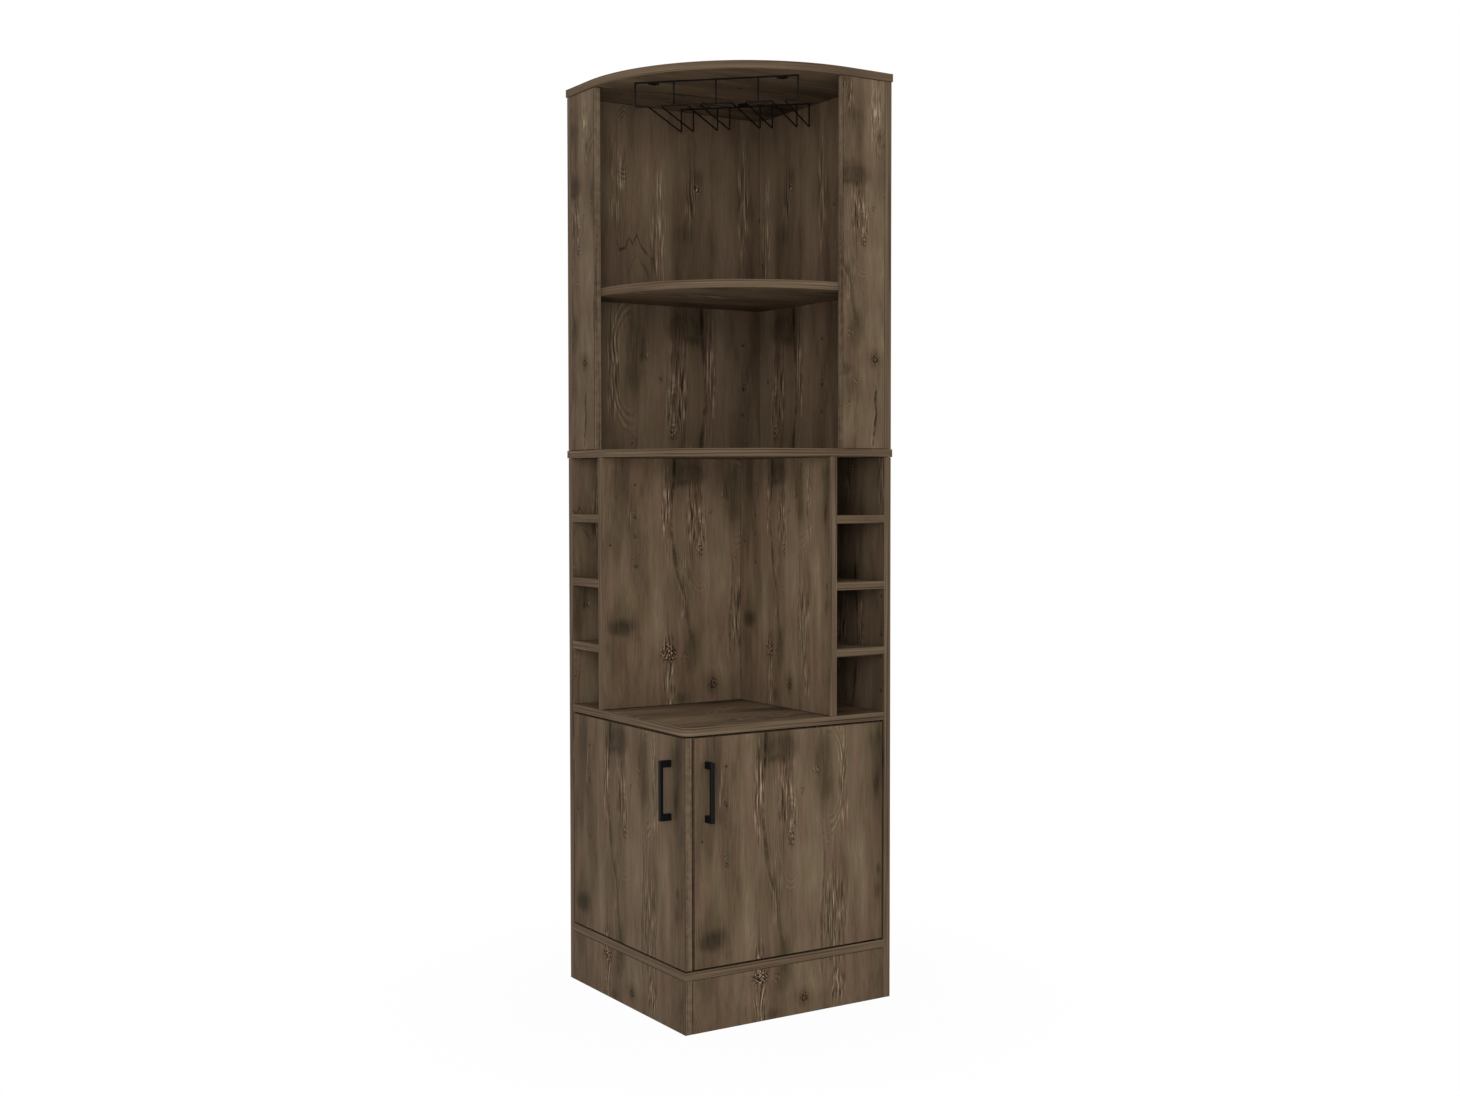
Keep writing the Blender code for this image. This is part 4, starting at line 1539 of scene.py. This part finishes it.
@dataclass
class Pivots(Maker):
    """The pins and bushes that a door turns on."""

    face: Face
    flange: float = 0.00105
    hollow: float = 0.0068
    depth: float = 0.0082

    def profiles(self) -> tuple[list[Pair], list[Pair]]:
        """Draw the half sections of the pin and the bush.

        Returns:
            Rows of (radius, height) from the axis to the axis, for the pin and for the bush.
        """
        flange, hollow, depth = self.flange, self.hollow, self.depth
        pin = [(0.0001, 0.018), (0.0034, 0.018), (0.004, 0.0174), (0.004, 0.0003), (0.0043, 0.0)]
        pin += [(0.0057, 0.0), (0.006, -0.0003), (0.006, -flange + 0.0003), (0.0057, -flange)]
        pin += [(0.0027, -flange), (0.0025, -flange - 0.0004), (0.0025, -flange - 0.0072)]
        pin += [(0.0019, -flange - 0.008), (0.0001, -flange - 0.008)]
        bush = [(0.0001, -hollow), (0.0026, -hollow), (0.0026, flange - 0.0004), (0.003, flange)]
        bush += [(0.0057, flange), (0.006, flange - 0.0003), (0.006, 0.0), (0.004, 0.0)]
        bush += [(0.004, -depth + 0.0005), (0.0035, -depth), (0.0001, -depth)]
        return pin, bush

    def build(self) -> list[bpy.types.Object]:
        """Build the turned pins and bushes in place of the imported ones, the upper ones upside down.

        Returns:
            The pins and bushes.
        """
        side, made = self.face.value, []
        kinds = {"pin": (Finish.BLACK_STEEL, f"{side}_door"), "bush": (Finish.BLACK_PLASTIC, "carcass")}
        for end in ("lower", "upper"):
            for (kind, (finish, body)), profile in zip(kinds.items(), self.profiles()):
                node = f"{side}_{end}_pivot_{kind}"
                low, high = corners(node)
                rows = np.array(profile)
                share = (rows[:, 1] - rows[:, 1].min()) / np.ptp(rows[:, 1])
                share = share if end == "lower" else 1 - share
                rows[:, 1] = low[2] + share * (high[2] - low[2])
                points = turned(rows, ring(40)) + (*((low + high) / 2)[:2], 0.0)
                made.append(self.made(f"{side}_{end}_turned_{kind}", body, finish, [points], node))
        return made


@dataclass
class Closing(Maker):
    """A door's strike plate and the magnetic catch on the countertop above it."""

    face: Face
    pole_inset: float = 0.009
    pole_depth: float = 0.004
    pole_half: float = 0.0008
    pole_proud: float = 0.0002
    screw_sunk: float = 0.0002
    plate_rounds: Pair = (0.0003, 0.002)
    case_rounds: Pair = (0.001, 0.0016)
    pole_rounds: Pair = (0.0002, 0.0004)

    def block(
        self,
        name: str,
        body: str,
        finish: Finish,
        node: str,
        ends: tuple[np.ndarray, np.ndarray],
        rounds: Pair,
    ) -> bpy.types.Object:
        """Make a rounded block, thin along its middle axis.

        Args:
            name: its name.
            body: the body that it moves with.
            finish: what it is made of.
            node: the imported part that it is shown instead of, if there is one.
            ends: two corners of the block, as (along, outwards, up).
            rounds: the radius of its rims and of its corners.

        Returns:
            The block.
        """
        low, high = ends
        outline = np.array([(low[0], low[2]), (high[0], low[2]), (high[0], high[2]), (low[0], high[2])])
        points, rim = plate(rounded_outline(outline, rounds[1], 5), high[1] - low[1], rounds[0])
        points = np.stack([points[..., 0], high[1] - points[..., 2], points[..., 1]], -1)
        return self.made(name, body, finish, [placed(points, self.face)], node, rim)

    def build(self) -> list[bpy.types.Object]:
        """Build the plate with its screw, and the catch with its magnet poles.

        Returns:
            The five pieces.
        """
        side, steel = self.face.value, Finish.BRIGHT_STEEL
        door = f"{side}_door"
        low, high = ends = span(f"{side}_strike_plate", self.face)
        made = [self.block(f"{side}_strike", door, steel, f"{side}_strike_plate", ends, self.plate_rounds)]
        middle = (low + high) / 2
        head = laid_out(screw(0.0015, 0.012, head_radius=0.0026, head=0.0009))
        head = placed(head, self.face, middle[0], middle[2], -low[1] - self.screw_sunk)
        made.append(self.made(f"{side}_strike_screw", door, steel, [head]))
        low, high = ends = span(f"{side}_catch", self.face)
        case = (f"{side}_catch_case", "carcass", Finish.BLACK_PLASTIC, f"{side}_catch")
        made.append(self.block(*case, ends, self.case_rounds))
        for count, share in ((1, 0.30), (2, 0.70)):
            up = low[2] + share * (high[2] - low[2])
            inner = np.array((low[0] + self.pole_inset, high[1] - self.pole_depth, up - self.pole_half))
            outer = np.array((high[0] - self.pole_inset, high[1] + self.pole_proud, up + self.pole_half))
            pole = (f"{side}_catch_pole_{count}", "carcass", steel, "")
            made.append(self.block(*pole, (inner, outer), self.pole_rounds))
        return made


@dataclass
class StemwareRack(Maker):
    """The wire rack under the top board, with its welds and fixing screws."""

    wire: float = 0.003
    bend: float = 0.0055
    front: float = 0.2284
    back: float = 0.4788
    bar_height: float = 1.7832
    rail_height: float = 1.7372
    side: float = 0.16055
    shift: float = 0.0035
    screw_head: float = 0.0022
    rails: tuple[float, ...] = (0.03205, 0.05755, 0.10905, 0.13455)
    posts: tuple[float, ...] = (0.0833, 0.0, -0.0833)

    def in_row(self, points: np.ndarray) -> np.ndarray:
        """Set places on the rack in the row's frame, half way between the two fronts.

        Args:
            points: places as (from the corner, across, up).

        Returns:
            The places in the row's frame.
        """
        turn = math.sqrt(0.5)
        run, across = points[..., 0], points[..., 1] - self.shift
        return np.stack([(run - across) * turn + CORNER, (run + across) * turn + CORNER, points[..., 2]], -1)

    def path(self, bends: list[Triple]) -> np.ndarray:
        """Round the square bends of a wire and fill its straight runs with points.

        Each bend is the quarter circle corner + (back + ahead) r - r (ahead cos t + back sin t).

        Args:
            bends: the wire's ends and corners, on the rack.

        Returns:
            (n, 3) places along the wire's middle.
        """
        ends = np.array(bends, float)
        if len(ends) == 2:
            return np.linspace(ends[0], ends[1], 12)
        inner = ends[1:-1]
        back, ahead = unit(ends[:-2] - inner)[:, None], unit(ends[2:] - inner)[:, None]
        turn = np.linspace(0, math.pi / 2, 7)[None, :, None]
        arcs = inner[:, None] + (back + ahead) * self.bend
        arcs = arcs - self.bend * (ahead * np.cos(turn) + back * np.sin(turn))
        starts = np.concatenate([ends[:1], arcs[:, -1]])[:, None]
        stops = np.concatenate([arcs[:, 0], ends[-1:]])[:, None]
        share = np.linspace(0, 1, 8)[None, :, None]
        runs = starts * (1 - share) + stops * share
        pieces = [runs[0, :-1]]
        for arc, run in zip(arcs, runs[1:-1]):
            pieces += [arc, run[1:-1]]
        return np.concatenate([*pieces, arcs[-1], runs[-1, 1:]])

    def tube(self, name: str, bends: list[Triple]) -> bpy.types.Object:
        """Carry a circle along a wire's path, with its frame kept square to a slanting line.

        Args:
            name: the wire's name on the rack.
            bends: the wire's ends and corners.

        Returns:
            The wire.
        """
        path = self.path(bends)
        run = unit(np.gradient(path, axis=0))
        slant = unit(np.array((0.31, 0.52, 0.79)))
        first = unit(slant - (run @ slant)[:, None] * run)
        second = np.cross(run, first)
        angle = ring(14)[None, :, None]
        offset = (first[:, None] * np.cos(angle) + second[:, None] * np.sin(angle)) * (self.wire / 2)
        points = self.in_row(path[:, None] + offset)
        return self.made(f"stem_{name}", "carcass", Finish.BLACK_STEEL, [points], f"rack_{name}")

    def beads(self) -> bpy.types.Object:
        """Build the weld beads where wires meet.

        Each is a small flattened ball, (cos b cos a, cos b sin a, sin b) times its half axes, whose skin
        swells by 0.06 cos 5a cos b + 0.04 sin (3a + 1).

        Returns:
            The beads, as one piece.
        """
        half_width, half_height, end, twist = 0.0021, 0.0011, math.pi / 2 - 0.05, 1.3
        under, over = self.bar_height - self.wire / 2, self.rail_height + self.wire / 2
        meets = [(self.back, sign * rail, under) for rail in self.rails for sign in (-1, 1)]
        meets += [(self.front, post, level_up) for post in self.posts for level_up in (under, over)]
        meets += [(self.front, sign * self.side, under) for sign in (-1, 1)]
        rise, turn = np.linspace(-end, end, 9)[:, None], ring(16)[None]
        swell = 1 + 0.06 * np.cos(5 * turn) * np.cos(rise) + 0.04 * np.sin(3 * turn + 1)
        flat, up = np.cos(rise) * half_width * swell, np.sin(rise) * half_height * swell
        balls = [around(flat, turn + count * twist, up) + place for count, place in enumerate(meets)]
        return self.made("rack_welds", "carcass", Finish.BLACK_STEEL, [self.in_row(ball) for ball in balls])

    def build(self) -> list[bpy.types.Object]:
        """Build the wires, the beads and the screws.

        Returns:
            The pieces.
        """
        under = self.bar_height - self.wire / 2 - GAP
        over = self.rail_height + self.wire / 2 + GAP
        front, back, rail, made = self.front, self.back, self.rail_height, []
        for end, place, reach in (("front", front, self.side), ("back", back, self.rails[3])):
            reach += self.wire / 2
            bar = [(place, -reach, self.bar_height), (place, reach, self.bar_height)]
            made.append(self.tube(f"{end}_bar", bar))
        first, second, third, fourth = self.rails
        for name, a, b in (("left", third, second), ("centre", first, -first), ("right", -second, -third)):
            loop = [(back, a, under), (back, a, rail), (front, a, rail)]
            loop += [(x, b, z) for x, _, z in reversed(loop)]
            made.append(self.tube(f"{name}_loop", loop))
        for name, sign in (("left", 1), ("right", -1)):
            hook = [(back, sign * fourth, under), (back, sign * fourth, rail), (front, sign * fourth, rail)]
            hook += [(front, sign * self.side, rail), (front, sign * self.side, under)]
            made.append(self.tube(f"{name}_rail", hook))
        for name, across in zip(("left", "centre", "right"), self.posts):
            made.append(self.tube(f"{name}_post", [(front, across, under), (front, across, over)]))
        made.append(self.beads())
        for name in ("left", "right", "back"):
            node = f"rack_{name}_screw"
            low, high = corners(node)
            length = float(high[2] - low[2]) - self.screw_head
            points = screw(0.00175, length, head_radius=0.0035, head=self.screw_head)
            points = points + (*((low + high) / 2)[:2], low[2] + self.screw_head)
            made.append(self.made(f"stem_{name}_screw", "carcass", Finish.BLACK_STEEL, [points], node))
        return made


@dataclass
class Studio:
    """A pale floor, a white surround and two plain soft lamps."""

    floor_half: float = 14.0
    floor_drop: float = 0.0004
    fade: float = 0.03
    ambient: float = 0.62
    lamp_size: float = 2.6
    aim: Triple = (0.0, 0.0, 0.9)
    lamps: tuple[tuple[str, Triple, float], ...] = (
        ("low_lamp", (-3.0, -3.9, 1.3), 66.0),
        ("high_lamp", (-3.0, -3.9, 2.6), 42.0),
    )

    def floor(self) -> None:
        """Build the floor, a flat grid that fades into the white surround away from the cabinet."""
        count = 25
        metre = 1 / MM
        line = np.linspace(-self.floor_half, self.floor_half, count)
        x, y = np.meshgrid(line, line, indexing="ij")
        points = np.stack([x, y, np.full_like(x, -self.floor_drop)], -1)
        index = np.arange(count * count).reshape(count, count)
        square = (index[:-1, :-1], index[1:, :-1], index[1:, 1:], index[:-1, 1:])
        mesh = bpy.data.meshes.new("floor")
        mesh.from_pydata(points.reshape(-1, 3).tolist(), [], np.stack(square, -1).reshape(-1, 4).tolist())
        material, bench = new_material("pale_floor")
        place = bench.outputs("ShaderNodeTexCoord")["Object"]
        far = place.far((0.0, 0.0), (metre, metre))
        speckle = place.noise((300.0, 300.0, 300.0))
        pale = bench.mix(speckle * 0.06, (0.86, 0.86, 0.85), (0.80, 0.80, 0.79))
        matt = bench.get("ShaderNodeBsdfDiffuse", None, {"Color": pale})
        white = bench.get("ShaderNodeEmission", None, {"Color": (1.0, 1.0, 1.0), "Strength": 1.0})
        share = bench.straight() * (far.rise(0.35, 0.9) * self.fade + (1.0 - self.fade))
        mixed = bench.get("ShaderNodeMixShader", None, {0: share, 1: matt, 2: white})
        bench.node("ShaderNodeOutputMaterial", None, {"Surface": mixed})
        mesh.materials.append(material)
        linked("floor", mesh)

    def build(self) -> None:
        """Set up the floor, the surround and the lamps."""
        self.floor()
        scene = bpy.context.scene
        scene.view_settings.view_transform = "Standard"
        scene.world = bpy.data.worlds.new("white_surround")
        scene.world.use_nodes = True
        bench = Bench(scene.world.node_tree)
        strength = bench.straight() * (1.0 - self.ambient) + self.ambient
        sky = bench.get("ShaderNodeBackground", None, {"Color": (1.0, 1.0, 1.0), "Strength": strength})
        bench.node("ShaderNodeOutputWorld", None, {"Surface": sky})
        for name, place, power in self.lamps:
            data = bpy.data.lights.new(name, "AREA")
            data.shape, data.size, data.energy = "SQUARE", self.lamp_size, power
            set_looking(linked(name, data), np.array(place), np.array(self.aim))


def set_looking(item: bpy.types.Object, place: np.ndarray, aim: np.ndarray, roll: float = 0.0) -> None:
    """Stand a lamp or a camera at a place so that it looks at another.

    Args:
        item: the lamp or camera, which looks down its own -Z.
        place: where it stands.
        aim: what it looks at.
        roll: the turn about its own line of sight, in radians.
    """
    ahead = unit(aim - place)
    right = unit(np.cross(ahead, (0.0, 0.0, 1.0)))
    up = np.cross(right, ahead)
    matrix = np.eye(4)
    matrix[:3, 0] = right * math.cos(roll) + up * math.sin(roll)
    matrix[:3, 1] = up * math.cos(roll) - right * math.sin(roll)
    matrix[:3, 2], matrix[:3, 3] = -ahead, place
    item.matrix_world = Matrix(matrix.tolist())


@dataclass
class Viewpoint:
    """Where the photograph was taken from."""

    place: Triple = (-1.826308, -2.977813, 0.999926)
    yaw: float = math.radians(-32.9960)
    pitch: float = math.radians(-2.1006)
    roll: float = math.radians(-0.0137)
    lens: float = 43.467
    shift: Pair = (-0.02758, 0.00347)

    def build(self) -> None:
        """Create the camera and make it the scene's."""
        data = bpy.data.cameras.new("photograph_camera")
        data.sensor_width, data.lens = 36.0, self.lens
        data.shift_x, data.shift_y = self.shift
        data.clip_start, data.clip_end = 0.05, 60.0
        camera = linked("photograph_camera", data)
        across = math.cos(self.pitch)
        ahead = (-math.sin(self.yaw) * across, math.cos(self.yaw) * across, math.sin(self.pitch))
        place = np.array(self.place)
        set_looking(camera, place, place + ahead, self.roll)
        bpy.context.scene.camera = camera


def main() -> None:
    """Build the view, the studio and every finish and piece of the cabinet."""
    logging.basicConfig(level=logging.INFO, format="%(message)s")
    Viewpoint().build()
    Studio().build()
    boards = Boards(Laminate())
    finishes = {finish: RECIPES[finish].material() for finish in Finish}
    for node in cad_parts.values():
        for finish, material in finishes.items():
            if node.data.materials[0].name.startswith(finish.value):
                node.data.materials[0] = material
    bands = EdgeBands(boards.edge_material("edge_banding"), boards.edge_material("door_banding", 0.9))
    makers = [boards, bands, StemwareRack(finishes)]
    for face in Face:
        makers += [Handle(finishes, face), Pivots(finishes, face), Closing(finishes, face)]
    for maker in makers:
        for piece in maker.build():
            LOG.info("%s: %s, %d faces", type(maker).__name__, piece.name, len(piece.data.polygons))


if __name__ == "__main__":
    main()
